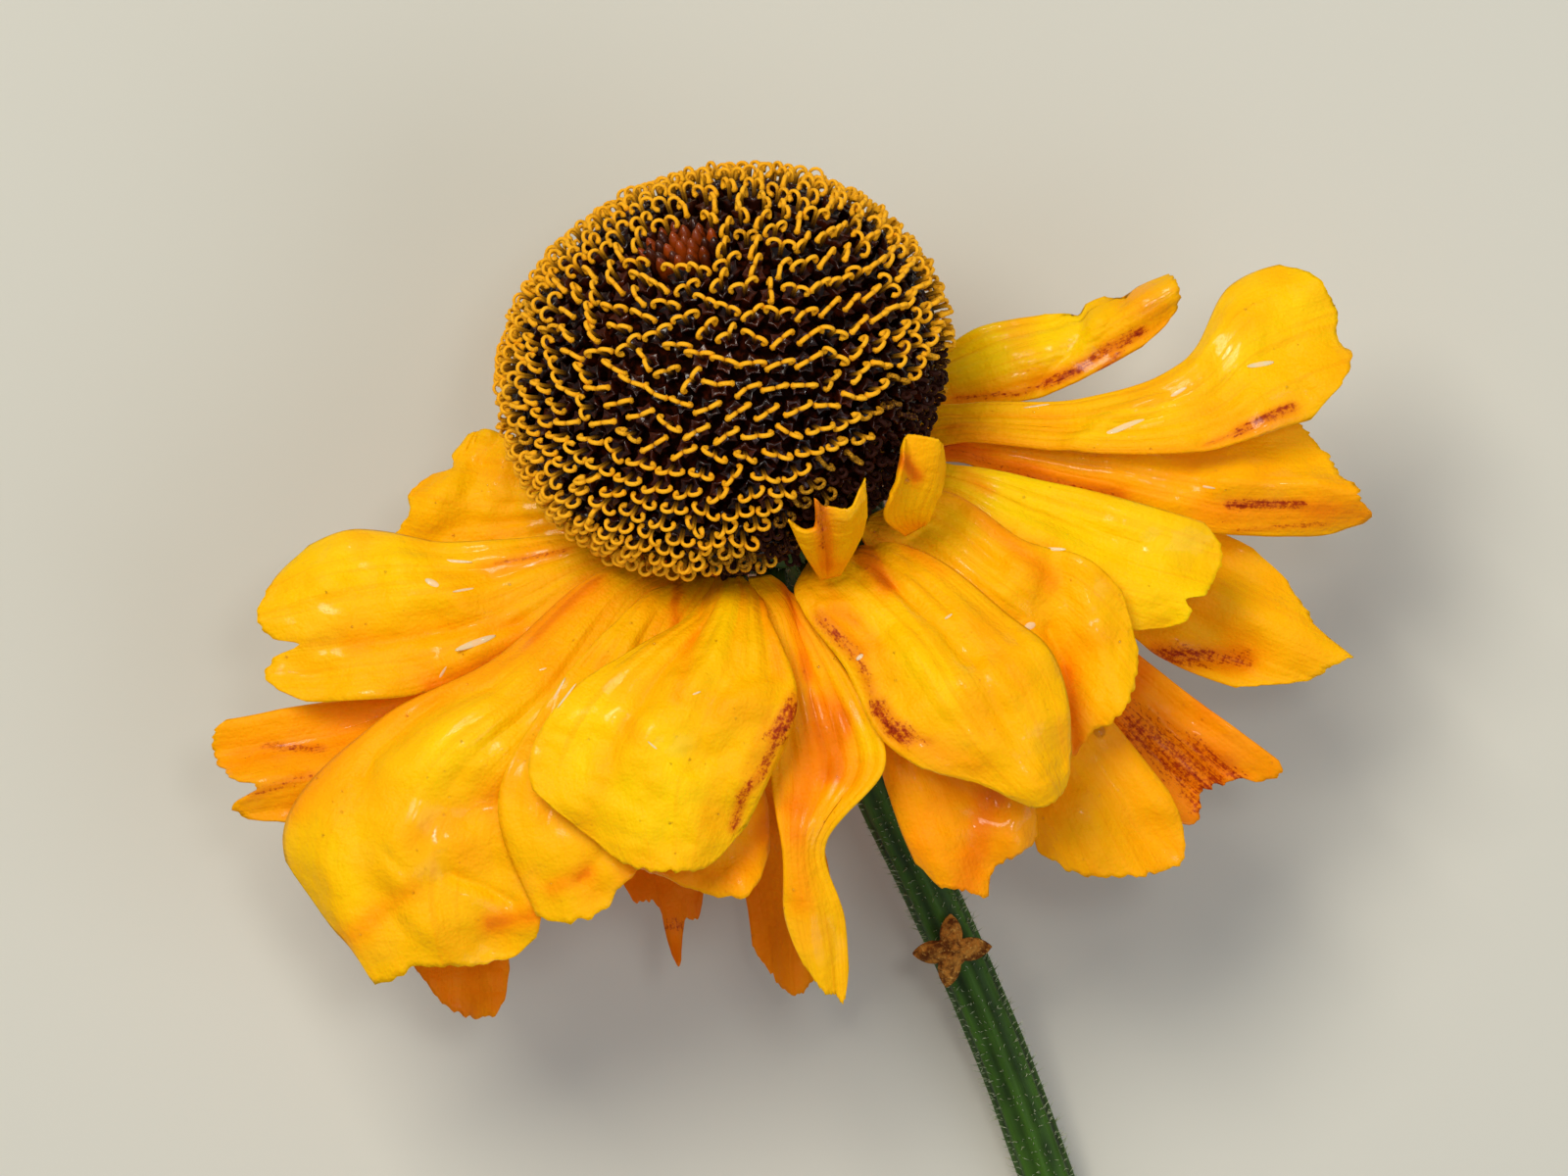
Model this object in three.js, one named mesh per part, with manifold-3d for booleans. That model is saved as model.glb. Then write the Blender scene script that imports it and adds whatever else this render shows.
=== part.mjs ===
// A sneezeweed head on a short cut stem, lying on a flat surface.
// Millimetres, +Z up. The stem lies along -Y, and the disc leans up and faces +Z and +Y.
// Every place below is given from the middle of the disc. The last lines lift the flower on to
// z = 0 and put the middle of its outline over the origin.

import * as THREE from 'three';
import { mergeVertices } from 'three/addons/utils/BufferGeometryUtils.js';
import Module from 'manifold-3d';

const wasm = await Module();
wasm.setup();

// Driving dimensions
const DISC_RADIUS = 9.6;          // to the tops of the styles, across the flower's axis
const DISC_HALF_HEIGHT = 8.0;     // along the axis
const STYLE_HEIGHT = 1.25;        // styles above the core
const STYLE_COUNT = 190;          // larger than life, in place of about 850
const STYLE_TUBE = 0.28;          // radius of a style branch
const STYLE_SPREAD = 0.85;        // half the width across a pair of branches
const DISC_FLOOR = -6.3;          // underside of the disc along the axis
const DISC_FLOOR_RADIUS = 5.0;
const DIMPLE_DEPTH = 0.8;         // hollow in the middle of the disc
const DIMPLE_RADIUS = 3.4;
const RAY_THICKNESS = 0.6;
const RAY_RING_RADIUS = 5.0;      // where the rays leave the receptacle
const RAY_RING_LEVEL = -7.1;
const UNDER_RADIUS = 4.8;         // the second row of rays, below and inside the first
const UNDER_LEVEL = -7.9;
const RAY_CLAW_WIDTH = 1.0;
const RAY_PITCH = 15;             // degrees between neighbouring rays
const RECEPTACLE_RADIUS = 4.6;
const STEM_RADIUS = 1.15;
const STEM_RIBS = 8;
const BRACT_COUNT = 12;
const LEAN = 34;                  // degrees of the axis out of the surface
const DISC_LIFT = 20;             // middle of the disc above the surface
const DISC_EAST = -2.72;          // middle of the disc from the middle of the outline, along X
const DISC_NORTH = 23.96;         // and along Y

const radians = THREE.MathUtils.degToRad;
const vec = (x, y, z) => new THREE.Vector3(x, y, z);

// The flower's own directions: its axis, the side that faces up and the side to the right
const ACROSS = vec(0.94, 0.34, 0).normalize();
const ALONG = vec(-ACROSS.y, ACROSS.x, 0);
const AXIS = ALONG.clone().multiplyScalar(Math.cos(radians(LEAN)))
  .add(vec(0, 0, Math.sin(radians(LEAN))));
const FRONT = vec().crossVectors(ACROSS, AXIS);
if (FRONT.z < 0) FRONT.negate();

// A small seeded random source, so that the flower is the same every time
function seededRandom(seed) {
  let state = seed;
  return () => {
    state = (state * 1664525 + 1013904223) % 4294967296;
    return state / 4294967296;
  };
}

// A place given by its turn round the axis, its distance from the axis and its level along it
function onRing(degrees, radius, level) {
  const turn = radians(degrees);
  return AXIS.clone().multiplyScalar(level)
    .addScaledVector(FRONT, radius * Math.cos(turn))
    .addScaledVector(ACROSS, radius * Math.sin(turn));
}

function ringTangent(degrees) {
  const turn = radians(degrees);
  return FRONT.clone().multiplyScalar(-Math.sin(turn)).addScaledVector(ACROSS, Math.cos(turn));
}

function geometryFrom(points, triangles) {
  const geometry = new THREE.BufferGeometry();
  const numbers = points.flatMap((p) => [p.x, p.y, p.z]);
  geometry.setAttribute('position', new THREE.Float32BufferAttribute(numbers, 3));
  geometry.setIndex(triangles.flat());
  return geometry;
}

// Turns every face over if they face in, which the sign of the enclosed volume tells
function facingOut(points, triangles) {
  const volume = triangles.reduce((sum, [a, b, c]) => (
    sum + points[a].dot(points[b].clone().cross(points[c]))), 0);
  return volume > 0 ? triangles : triangles.map(([a, b, c]) => [a, c, b]);
}

// Skins a row of closed loops of equal count and closes both ends round their middles
function loft(loops) {
  const count = loops[0].length;
  const points = loops.flat();
  const triangles = [];
  for (let i = 0; i < loops.length - 1; i += 1) {
    for (let j = 0; j < count; j += 1) {
      const a = i * count + j;
      const b = i * count + ((j + 1) % count);
      triangles.push([a, b, b + count], [a, b + count, a + count]);
    }
  }
  if (count === 3) {
    const last = points.length;
    triangles.push([2, 1, 0], [last - 3, last - 2, last - 1]);
    return geometryFrom(points, facingOut(points, triangles));
  }
  for (const end of [0, loops.length - 1]) {
    const middle = vec(0, 0, 0);
    loops[end].forEach((p) => middle.add(p));
    points.push(middle.divideScalar(count));
    for (let j = 0; j < count; j += 1) {
      const a = end * count + j;
      const b = end * count + ((j + 1) % count);
      triangles.push(end === 0 ? [b, a, points.length - 1] : [a, b, points.length - 1]);
    }
  }
  return geometryFrom(points, facingOut(points, triangles));
}

function solidFrom(geometry) {
  const bare = geometry.index ? geometry.clone() : mergeVertices(geometry);
  bare.deleteAttribute('normal');
  bare.deleteAttribute('uv');
  const merged = mergeVertices(bare);
  return new wasm.Manifold(new wasm.Mesh({
    numProp: 3,
    vertProperties: new Float32Array(merged.attributes.position.array),
    triVerts: new Uint32Array(merged.index.array),
  }));
}

function geometryOf(solid) {
  const mesh = solid.getMesh();
  const geometry = new THREE.BufferGeometry();
  geometry.setAttribute('position', new THREE.BufferAttribute(new Float32Array(mesh.vertProperties), 3));
  geometry.setIndex(new THREE.BufferAttribute(new Uint32Array(mesh.triVerts), 1));
  return geometry;
}

// A smooth curve through rows of numbers, for t from 0 at the first row to 1 at the last
function through(rows, t) {
  const place = Math.min(t, 0.999999) * (rows.length - 1);
  const i = Math.floor(place);
  const f = place - i;
  const before = rows[Math.max(i - 1, 0)];
  const after = rows[Math.min(i + 2, rows.length - 1)];
  return rows[i].map((value, k) => {
    const next = rows[i + 1][k];
    const leave = i > 0 ? (next - before[k]) / 2 : next - value;
    const arrive = i < rows.length - 2 ? (after[k] - value) / 2 : next - value;
    return (2 * f ** 3 - 3 * f ** 2 + 1) * value + (f ** 3 - 2 * f ** 2 + f) * leave
      + (3 * f ** 2 - 2 * f ** 3) * next + (f ** 3 - f ** 2) * arrive;
  });
}

// Rays. slot is the place on the ring, in steps of RAY_PITCH from the side that faces up.
// Each row after the claw gives the left edge, the right edge and the crown between them,
// seen from above with the tip pointing down. under puts it in the second row. rim gives places
// across the blade from -1 to 1, each with the share of the length that the margin reaches there,
// and folds the places of its lengthwise furrows. wave is the height, count and start of the
// ruffles, and hem turns down the two margins.
const RAYS = [
  { name: 'ray_left_rear', slot: -7, under: true, wave: [0.35, 1.4, 0.2], folds: [-0.36, 0.44],
    rim: [[-1, 0.93], [-0.7, 0.95], [-0.36, 0.86], [-0.24, 0.95], [0.1, 0.98], [0.44, 0.92],
      [0.75, 0.93], [1, 0.9]],
    rows: [[-6.8, -4.0, -6.8, -6.5, -7.0, -6.0, 0.3], [-9.8, -2.4, -7.2, -10.7, -8.0, -6.4, 0.5],
      [-11.1, -2.6, -7.5, -15.4, -7.0, -6.8, 0.4]] },
  { name: 'ray_left', slot: -6, wave: [0.3, 1.2, 0.5], folds: [0.22, -0.4],
    rim: [[-1, 0.86], [-0.75, 0.955], [-0.3, 1], [0.08, 0.975], [0.22, 0.92], [0.34, 0.98],
      [0.55, 1], [0.8, 0.985], [1, 0.93]],
    rows: [[-6.7, -6.8, -3.9, -5.5, -8.9, -3.0, 0.1], [-11.5, -7.1, -3.8, -9.2, -11.8, -2.8, 0.5],
      [-15.8, -6.6, -4.2, -13.4, -13.6, -3.0, 0.7], [-19.8, -8.4, -4.6, -19.2, -13.8, -3.4, 0.4]] },
  { name: 'ray_left_low', slot: -5, under: true, wave: [0.4, 1.6, 0.1], folds: [-0.35, 0.38],
    rim: [[-1, 0.97], [-0.6, 1], [0.1, 0.985], [0.38, 0.95], [0.56, 0.99], [0.8, 0.98], [1, 0.93]],
    rows: [[-5.6, -9.4, -4.3, -4.4, -10.5, -3.6, 0.1], [-10.5, -11.0, -5.4, -8.5, -14.3, -3.8, 0.3],
      [-15.4, -13.6, -5.8, -13.5, -17.8, -3.8, 0.3], [-21.9, -14.8, -5.6, -20.7, -19.1, -4.4, 0.2]] },
  { name: 'ray_front_left', slot: -4, wave: [0.35, 1.5, 0.3], hem: [1.2, 0], folds: [-0.72, 0.1],
    rim: [[-1, 0.84], [-0.85, 0.9], [-0.72, 0.94], [-0.64, 0.99], [-0.4, 0.985], [-0.15, 0.965],
      [0.4, 0.97], [0.85, 0.955], [1, 0.88]],
    rows: [[-5.6, -8.5, -1.4, -3.1, -10.0, -0.9, 0.2], [-9.8, -12.0, -0.1, -5.2, -14.8, 0.5, 0.6],
      [-14.6, -14.6, 0.1, -8.0, -19.0, 0.7, 0.9], [-18.5, -19.4, 0.0, -7.6, -22.4, 0.4, 0.8],
      [-15.8, -26.0, -0.4, -8.4, -25.0, -0.1, 0.4]] },
  { name: 'ray_front_mid', slot: -3, wave: [0.35, 1.5, 0.6], folds: [-0.15, 0.3],
    rim: [[-1, 0.96], [-0.75, 0.975], [-0.45, 0.96], [-0.24, 0.92], [-0.05, 0.89], [0.3, 0.935],
      [0.7, 0.97], [0.88, 0.95], [1, 0.88]],
    rows: [[-4.5, -10.4, 0.9, -0.6, -10.8, 0.6, 0.1], [-7.6, -14.0, 1.8, 0.4, -14.6, 1.3, 0.4],
      [-9.4, -18.2, 2.1, 1.7, -17.8, 1.0, 0.6], [-7.4, -23.6, 1.6, 1.8, -22.2, 0.7, 0.4]] },
  { name: 'ray_front', slot: -2, wave: [0.3, 1.3, 0.1], folds: [-0.3, 0.35],
    rim: [[-1, 0.8], [-0.75, 0.91], [-0.5, 0.975], [-0.1, 0.99], [0.35, 0.985], [0.7, 0.975],
      [0.88, 0.94], [1, 0.87]],
    rows: [[-1.6, -10.3, 2.0, 1.8, -10.2, 2.4, 0.4], [-6.2, -13.2, 3.2, 3.0, -13.6, 3.9, 0.9],
      [-8.1, -16.7, 3.6, 1.8, -17.0, 3.9, 0.8], [-5.4, -20.6, 3.7, -0.3, -21.1, 3.5, 0.4]] },
  { name: 'ray_front_twisted', slot: -1, wave: [0.1, 1.5, 0.4], folds: [-0.1, 0.5],
    rim: [[-1, 0.86], [-0.85, 0.92], [-0.5, 0.955], [0, 0.985], [0.36, 0.98], [0.6, 1],
      [0.8, 0.985], [1, 0.93]],
    rows: [[1.8, -10.4, 1.3, 3.5, -10.3, 1.0, 0.1], [1.7, -13.8, 2.0, 5.8, -13.8, 2.4, -0.3],
      [1.9, -17.0, 2.4, 6.6, -16.5, 3.1, -0.6], [2.4, -20.0, 2.6, 4.2, -19.6, 2.2, 0.0],
      [2.5, -22.6, 2.0, 5.0, -22.9, 1.4, 0.2], [3.4, -26.0, 1.2, 5.2, -26.4, 1.0, 0.1]] },
  { name: 'ray_right_front', slot: 1, wave: [0.3, 1.4, 0.2], folds: [-0.5, 0.2],
    rim: [[-1, 0.7], [-0.85, 0.75], [-0.65, 0.81], [-0.45, 0.91], [-0.3, 0.96], [0.05, 0.975],
      [0.5, 0.96], [0.78, 0.92], [1, 0.8]],
    rows: [[3.1, -9.7, 2.0, 7.9, -7.4, 0.5, 0.3], [5.0, -12.4, 2.8, 11.4, -9.8, 1.9, 0.8],
      [6.6, -15.4, 3.6, 13.8, -12.2, 2.9, 1.0], [9.8, -17.4, 3.4, 14.4, -15.8, 2.6, 0.7],
      [12.2, -18.9, 3.2, 14.6, -17.6, 2.5, 0.4]] },
  { name: 'ray_under_stem', slot: 2, under: true, wave: [0.3, 1.4, 0.7], folds: [0.04],
    rim: [[-1, 0.88], [-0.78, 0.94], [-0.42, 0.965], [-0.1, 1], [0.04, 0.97], [0.2, 0.945],
      [0.5, 0.93], [0.8, 0.92], [1, 0.9]],
    rows: [[4.8, -10.2, -0.3, 6.5, -10.0, -0.7, 0.1], [6.0, -14.0, -0.1, 10.0, -13.4, -0.6, 0.3],
      [6.9, -18.0, -0.2, 12.6, -17.2, -0.9, 0.4], [9.0, -22.8, -1.0, 13.2, -20.8, -1.4, 0.2]] },
  { name: 'ray_right_folded', slot: 3, wave: [0.25, 1.3, 0.1], folds: [-0.45, 0.35],
    rim: [[-1, 0.92], [-0.8, 0.94], [-0.5, 0.945], [-0.2, 0.98], [0.1, 0.99], [0.6, 0.97],
      [0.8, 0.93], [1, 0.85]],
    rows: [[7.2, -8.6, -0.3, 9.2, -5.0, -1.0, 0.1], [9.8, -11.0, 0.6, 12.4, -7.0, 0.2, 0.3],
      [12.6, -14.2, 0.6, 15.4, -8.0, 0.4, -0.5], [15.0, -17.2, 0.3, 18.2, -11.4, -0.1, 0.2]] },
  { name: 'ray_right_low', slot: 4, under: true, wave: [0.25, 1.5, 0.5], folds: [-0.3, 0.2],
    rim: [[-1, 0.88], [-0.6, 0.955], [-0.15, 0.985], [0.25, 1], [0.5, 1], [0.72, 0.97],
      [0.86, 0.93], [1, 0.86]],
    rows: [[8.3, -9.2, -2.4, 9.5, -8.2, -2.6, 0.1], [10.6, -13.6, -2.4, 13.8, -11.8, -2.8, 0.3],
      [12.4, -17.8, -2.4, 17.0, -15.6, -3.0, 0.4], [13.8, -22.2, -2.8, 20.6, -20.2, -3.4, 0.4]] },
  { name: 'ray_right_bright', slot: 5, wave: [0.25, 1.4, 0.6], folds: [-0.34, 0.3],
    rim: [[-1, 0.88], [-0.85, 0.94], [-0.68, 0.985], [-0.5, 0.985], [-0.34, 0.955], [-0.16, 1],
      [0.3, 1], [0.7, 0.975], [1, 0.9]],
    rows: [[9.0, -5.5, -2.0, 9.6, -3.9, -2.3, 0.2], [11.8, -8.0, -1.4, 13.2, -4.5, -1.9, 0.5],
      [15.2, -10.2, -1.3, 17.6, -5.6, -2.0, 0.6], [19.0, -11.2, -1.5, 21.5, -6.8, -2.3, 0.3]] },
  { name: 'ray_right_stained', slot: 6, under: true, wave: [0.35, 1.6, 0.3], folds: [-0.1],
    rim: [[-1, 0.9], [-0.8, 0.935], [-0.62, 0.95], [-0.42, 0.94], [-0.2, 0.915], [0.1, 0.925],
      [0.42, 0.94], [0.56, 0.965], [0.85, 0.975], [1, 0.96]],
    rows: [[9.1, -7.2, -4.4, 9.9, -6.1, -4.6, 0.1], [12.6, -11.6, -4.6, 14.6, -9.6, -5.0, 0.2],
      [16.2, -16.0, -4.6, 18.8, -13.0, -5.4, -0.3], [19.8, -20.4, -5.0, 24.2, -17.0, -5.8, -0.2]] },
  { name: 'ray_right_under', slot: 7, under: true, wave: [0.3, 1.4, 0.2], folds: [-0.3, 0.42],
    rim: [[-1, 0.86], [-0.7, 0.93], [-0.4, 0.965], [0.05, 0.99], [0.18, 1], [0.3, 0.96],
      [0.42, 0.925], [0.6, 0.9], [0.85, 0.86], [1, 0.8]],
    rows: [[9.4, -5.1, -5.9, 9.8, -4.2, -6.2, 0.0], [14.0, -8.2, -6.2, 15.4, -4.8, -6.8, 0.3],
      [18.8, -12.2, -6.4, 21.2, -6.8, -7.0, 0.5], [25.2, -14.2, -6.4, 27.3, -10.5, -7.0, 0.3]] },
  { name: 'ray_right', slot: 9, under: true, wave: [0.35, 1.6, 0.4], hem: [0.8, 0], folds: [-0.35, 0.3],
    rim: [[-1, 0.92], [-0.85, 0.97], [-0.72, 1], [-0.5, 0.985], [-0.22, 0.985], [-0.1, 0.965],
      [0.1, 0.96], [0.4, 0.95], [0.7, 0.93], [1, 0.9]],
    rows: [[9.8, -3.6, -5.2, 9.8, -2.2, -6.2, 0.1], [15.6, -5.1, -4.2, 15.6, -2.0, -5.5, 0.3],
      [20.6, -6.5, -4.1, 21.0, -2.2, -5.4, 0.5], [27.4, -6.6, -4.6, 26.0, -2.0, -5.4, 0.3]] },
  { name: 'ray_right_high', slot: 8, wave: [0.3, 1.3, 0.8], folds: [-0.2, 0.4],
    rim: [[-1, 0.84], [-0.8, 0.92], [-0.6, 0.97], [-0.42, 0.99], [-0.2, 0.975], [0.25, 1],
      [0.5, 0.995], [0.85, 0.965], [1, 0.92]],
    rows: [[10.0, -2.9, -4.2, 10.0, -1.3, -4.8, 0.1], [15.2, -3.4, -2.9, 15.0, -1.1, -3.7, 0.2],
      [20.0, -3.3, -2.4, 19.2, 0.4, -3.6, 0.4], [23.8, -2.2, -2.8, 21.2, 3.7, -4.2, 0.5],
      [27.2, -0.8, -3.4, 24.6, 4.9, -4.4, 0.3]] },
  { name: 'ray_rear_right', slot: 10, wave: [0.3, 1.4, 0.3], folds: [0.5, 0.84],
    rim: [[-1, 0.86], [-0.8, 0.93], [-0.45, 0.985], [-0.15, 1], [0.15, 1], [0.36, 0.975],
      [0.46, 0.92], [0.54, 0.86], [0.74, 0.84], [0.82, 0.78], [0.9, 0.73], [1, 0.69]],
    rows: [[8.8, -1.6, -7.6, 7.8, 0.2, -8.4, 0.2], [12.6, -1.1, -7.0, 10.6, 1.9, -8.0, 0.4],
      [15.8, 0.2, -6.6, 14.4, 2.9, -7.8, 0.4], [19.9, 2.6, -6.8, 18.2, 5.2, -7.6, 0.2]] },
  { name: 'ray_foot_right', slot: 11, wave: [0.2, 1.3, 0.1], folds: [-0.2],
    rim: [[-1, 0.9], [-0.6, 0.95], [-0.2, 0.94], [0.2, 0.99], [0.6, 0.99], [1, 0.92]],
    rows: [[5.8, -2.2, -11.6, 3.6, 0.0, -12.0, 0.1], [8.2, -1.2, -15.6, 4.6, 2.6, -15.8, 0.2],
      [8.8, 0.4, -20.0, 5.2, 4.6, -20.0, 0.1], [9.0, 2.4, -20.0, 5.8, 6.4, -20.0, 0]] },
  { name: 'ray_under_twisted', slot: 12, under: true, wave: [0.25, 1.4, 0.2], folds: [0.2],
    rim: [[-1, 0.88], [-0.75, 0.915], [-0.38, 0.955], [0, 0.975], [0.3, 0.965], [0.5, 0.945],
      [1, 0.92]],
    rows: [[-1.9, -8.5, -11.6, 0.9, -8.5, -12.0, 0.2], [-1.8, -15.0, -13.2, 2.4, -15.0, -13.4, 0.3],
      [0.6, -21.4, -13.4, 4.4, -21.2, -13.2, 0.2], [1.4, -26.9, -12.8, 4.4, -27.1, -12.8, 0.1]] },
  { name: 'ray_foot_mid', slot: 13, wave: [0.2, 1.3, 0.5], folds: [0.2],
    rim: [[-1, 0.88], [-0.6, 0.95], [-0.1, 0.97], [0.2, 0.95], [0.6, 1], [1, 0.9]],
    rows: [[1.0, -0.9, -11.6, -1.9, -1.1, -11.6, 0.1], [1.4, 2.2, -15.8, -2.8, 2.0, -15.8, 0.2],
      [1.6, 4.6, -20.0, -3.0, 4.4, -20.0, 0.1], [1.2, 7.2, -20.0, -2.8, 7.0, -20.0, 0]] },
  { name: 'ray_under_tips', slot: 14, under: true, wave: [0.25, 1.4, 0.2], folds: [-0.2, 0.4],
    rim: [[-1, 0.78], [-0.8, 0.825], [-0.35, 0.82], [-0.2, 0.84], [0, 0.96], [0.12, 0.98],
      [0.22, 0.96], [0.42, 0.865], [0.75, 0.86], [1, 0.78]],
    rows: [[-4.2, -9.5, -10.0, -1.8, -9.5, -10.4, 0.2], [-5.2, -15.5, -10.8, -1.2, -15.5, -11.2, 0.3],
      [-4.5, -21.0, -10.8, -0.9, -21.0, -11.0, 0.2], [-3.6, -25.4, -10.2, -0.8, -25.6, -10.4, 0.1]] },
  { name: 'ray_foot_left', slot: 15, wave: [0.2, 1.3, 0.9], folds: [-0.2],
    rim: [[-1, 0.9], [-0.5, 0.96], [-0.2, 0.94], [0.2, 0.98], [0.6, 1], [1, 0.9]],
    rows: [[-3.0, -1.7, -11.0, -5.0, -4.0, -10.8, 0.1], [-4.2, 1.2, -15.6, -7.4, -2.2, -15.4, 0.2],
      [-4.8, 3.6, -20.0, -8.4, -0.2, -20.0, 0.1], [-5.4, 5.8, -20.0, -8.8, 2.2, -20.0, 0]] },
  { name: 'ray_under_left', slot: 16, under: true, wave: [0.3, 1.4, 0.6], folds: [-0.2, 0.5],
    rim: [[-1, 0.85], [-0.66, 0.9], [-0.35, 0.945], [0, 0.975], [0.35, 0.985], [0.7, 0.975],
      [0.88, 0.94], [1, 0.88]],
    rows: [[-5.6, -9.5, -8.0, -2.8, -10.4, -8.2, 0.2], [-9.8, -15.5, -8.2, -5.0, -16.8, -8.5, 0.4],
      [-13.6, -21.5, -7.6, -8.9, -22.4, -7.9, 0.4], [-14.2, -27.0, -7.0, -9.0, -27.7, -7.2, 0.2]] },
];

const FIRST_SLOT_TURN = -3;       // degrees, turns the ring so that slot 0 is the open gap by the stem

// The claw lies half way between the ring's direction and the blade's, so the blade turns little
function clawRow(ray) {
  const turn = FIRST_SLOT_TURN + RAY_PITCH * ray.slot;
  const middle = ray.under ? onRing(turn, UNDER_RADIUS, UNDER_LEVEL)
    : onRing(turn, RAY_RING_RADIUS, RAY_RING_LEVEL);
  const [lx, ly, lz, rx, ry, rz] = ray.rows[0];
  const across = vec(rx - lx, ry - ly, rz - lz).normalize();
  const tangent = ringTangent(turn);
  if (tangent.dot(across) < 0) tangent.negate();
  const half = tangent.add(across).setLength(RAY_CLAW_WIDTH / 2);
  const left = middle.clone().sub(half);
  const right = middle.clone().add(half);
  return [left.x, left.y, left.z, right.x, right.y, right.z, 0];
}

const PLEAT_DEPTH = 0.25;
const PLEAT_WIDTH = 0.14;         // as a share of half the blade's width
const PLEAT_ROUNDING = 0.005;     // a narrow blade's pleats are shallower: depth over width squared

function bladePoint(ray, rows, t, v) {
  const [lx, ly, lz, rx, ry, rz, crown] = through(rows, t);
  const left = vec(lx, ly, lz);
  const right = vec(rx, ry, rz);
  const step = 0.01;
  const back = through(rows, Math.max(t - step, 0));
  const ahead = through(rows, Math.min(t + step, 1));
  const tangent = vec(ahead[0] + ahead[3] - back[0] - back[3], ahead[1] + ahead[4] - back[1] - back[4],
    ahead[2] + ahead[5] - back[2] - back[5]);
  const outward = tangent.cross(right.clone().sub(left)).normalize();
  const [height, count, start] = ray.wave;
  const [hemLeft, hemRight] = ray.hem ?? [0, 0];
  const pleats = ray.folds
    .reduce((sum, fold) => sum + Math.exp(-(((v - fold) / PLEAT_WIDTH) ** 2)), 0);
  const pleatDepth = Math.min(PLEAT_DEPTH, PLEAT_ROUNDING * left.distanceToSquared(right));
  const lift = crown * (1 - v * v)
    - pleatDepth * pleats * Math.sin(Math.PI * Math.min(1, t * 1.2))
    + height * t * t * Math.sin(2 * Math.PI * (count * v / 2 + start))
    - hemLeft * t * Math.max(0, (-v - 0.6) / 0.4) ** 2
    - hemRight * t * Math.max(0, (v - 0.6) / 0.4) ** 2;
  return left.lerp(right, (v + 1) / 2).addScaledVector(outward, lift);
}

const RAY_ROWS = 6;

// A closed blade: the same grid of triangles above and below, joined round the rim. place gives
// the blade's middle at t along it and v across it, and only the outer rows follow the margin
function bladeSolid(ray, place, rowCount) {
  const columns = ray.rim.length - 1;
  const above = [];
  const below = [];
  for (let i = 0; i <= rowCount; i += 1) {
    for (const [v, reach] of ray.rim) {
      const s = i / rowCount;
      const t = s * (1 - (1 - reach) * s * s);
      const middle = place(t, v);
      const small = 0.02;
      const down = place(Math.min(t + small, 1), v).sub(place(Math.max(t - small, 0), v));
      const side = place(t, Math.min(v + small, 1)).sub(place(t, Math.max(v - small, -1)));
      const normal = down.cross(side).normalize();
      above.push(middle.clone().addScaledVector(normal, RAY_THICKNESS / 2));
      below.push(middle.clone().addScaledVector(normal, -RAY_THICKNESS / 2));
    }
  }
  const width = columns + 1;
  const offset = above.length;
  const triangles = [];
  for (let i = 0; i < rowCount; i += 1) {
    for (let j = 0; j < columns; j += 1) {
      const a = i * width + j;
      const b = a + width;
      triangles.push([a, b, b + 1], [a, b + 1, a + 1]);
      triangles.push([offset + a, offset + b + 1, offset + b]);
      triangles.push([offset + a, offset + a + 1, offset + b + 1]);
    }
  }
  const edge = [];
  for (let j = 0; j < columns; j += 1) edge.push(j);
  for (let i = 0; i < rowCount; i += 1) edge.push(i * width + columns);
  for (let j = columns; j > 0; j -= 1) edge.push(rowCount * width + j);
  for (let i = rowCount; i > 0; i -= 1) edge.push(i * width);
  edge.forEach((a, k) => {
    const b = edge[(k + 1) % edge.length];
    triangles.push([a, b, offset + b], [a, offset + b, offset + a]);
  });
  return geometryFrom([...above, ...below], triangles);
}

function raySolid(ray) {
  const rows = [clawRow(ray), ...ray.rows];
  const geometry = bladeSolid(ray, (t, v) => bladePoint(ray, rows, t, v), RAY_ROWS);
  pressOnSurface(geometry);
  return geometry;
}

// Where a ray reaches the surface it lies flat on it, no thinner than elsewhere
function pressOnSurface(geometry) {
  const place = geometry.attributes.position;
  const half = place.count / 2;
  for (let i = 0; i < half; i += 1) {
    const lowest = Math.min(place.getZ(i), place.getZ(i + half));
    if (lowest < -DISC_LIFT) {
      const lowIndex = place.getZ(i) < place.getZ(i + half) ? i : i + half;
      const highIndex = lowIndex === i ? i + half : i;
      const x = (place.getX(i) + place.getX(i + half)) / 2;
      const y = (place.getY(i) + place.getY(i + half)) / 2;
      place.setXYZ(lowIndex, x, y, -DISC_LIFT);
      place.setXYZ(highIndex, x, y, Math.max(place.getZ(highIndex), -DISC_LIFT + RAY_THICKNESS));
    }
  }
}

// Two stunted florets curl up over the rim of the disc: one with three points, one a hood
const STUNTED_RAYS = [
  { name: 'ray_stunted_low', wave: [0.3, 1.96, 0.36], folds: [-0.25],
    rim: [[-1, 0.8], [-0.85, 0.72], [-0.5, 0.7], [-0.35, 0.78], [-0.25, 0.96], [-0.1, 0.86],
      [0.4, 0.84], [0.85, 0.9], [1, 1]],
    rows: [[3.9, -8.6, 2.7, 4.8, -8.4, 2.5, 0], [3.1, -7.3, 5.8, 5.8, -6.5, 5.0, -0.2],
      [2.4, -5.6, 8.6, 5.9, -4.7, 7.3, -0.2]] },
  { name: 'ray_stunted_curled', wave: [0.5, 1, 0.47], folds: [],
    rim: [[-1, 0.86], [-0.6, 0.96], [-0.1, 1], [0.3, 1], [0.7, 0.96], [1, 0.86]],
    rows: [[7.4, -6.8, 0.8, 8.3, -6.3, 0.4, 0], [6.6, -6.1, 4.4, 8.5, -6.1, 2.7, 0.2],
      [7.1, -4.7, 6.1, 9.0, -4.5, 4.0, 0.3], [7.5, -2.9, 6.7, 8.9, -2.7, 5.0, 0.1]] },
];

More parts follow.
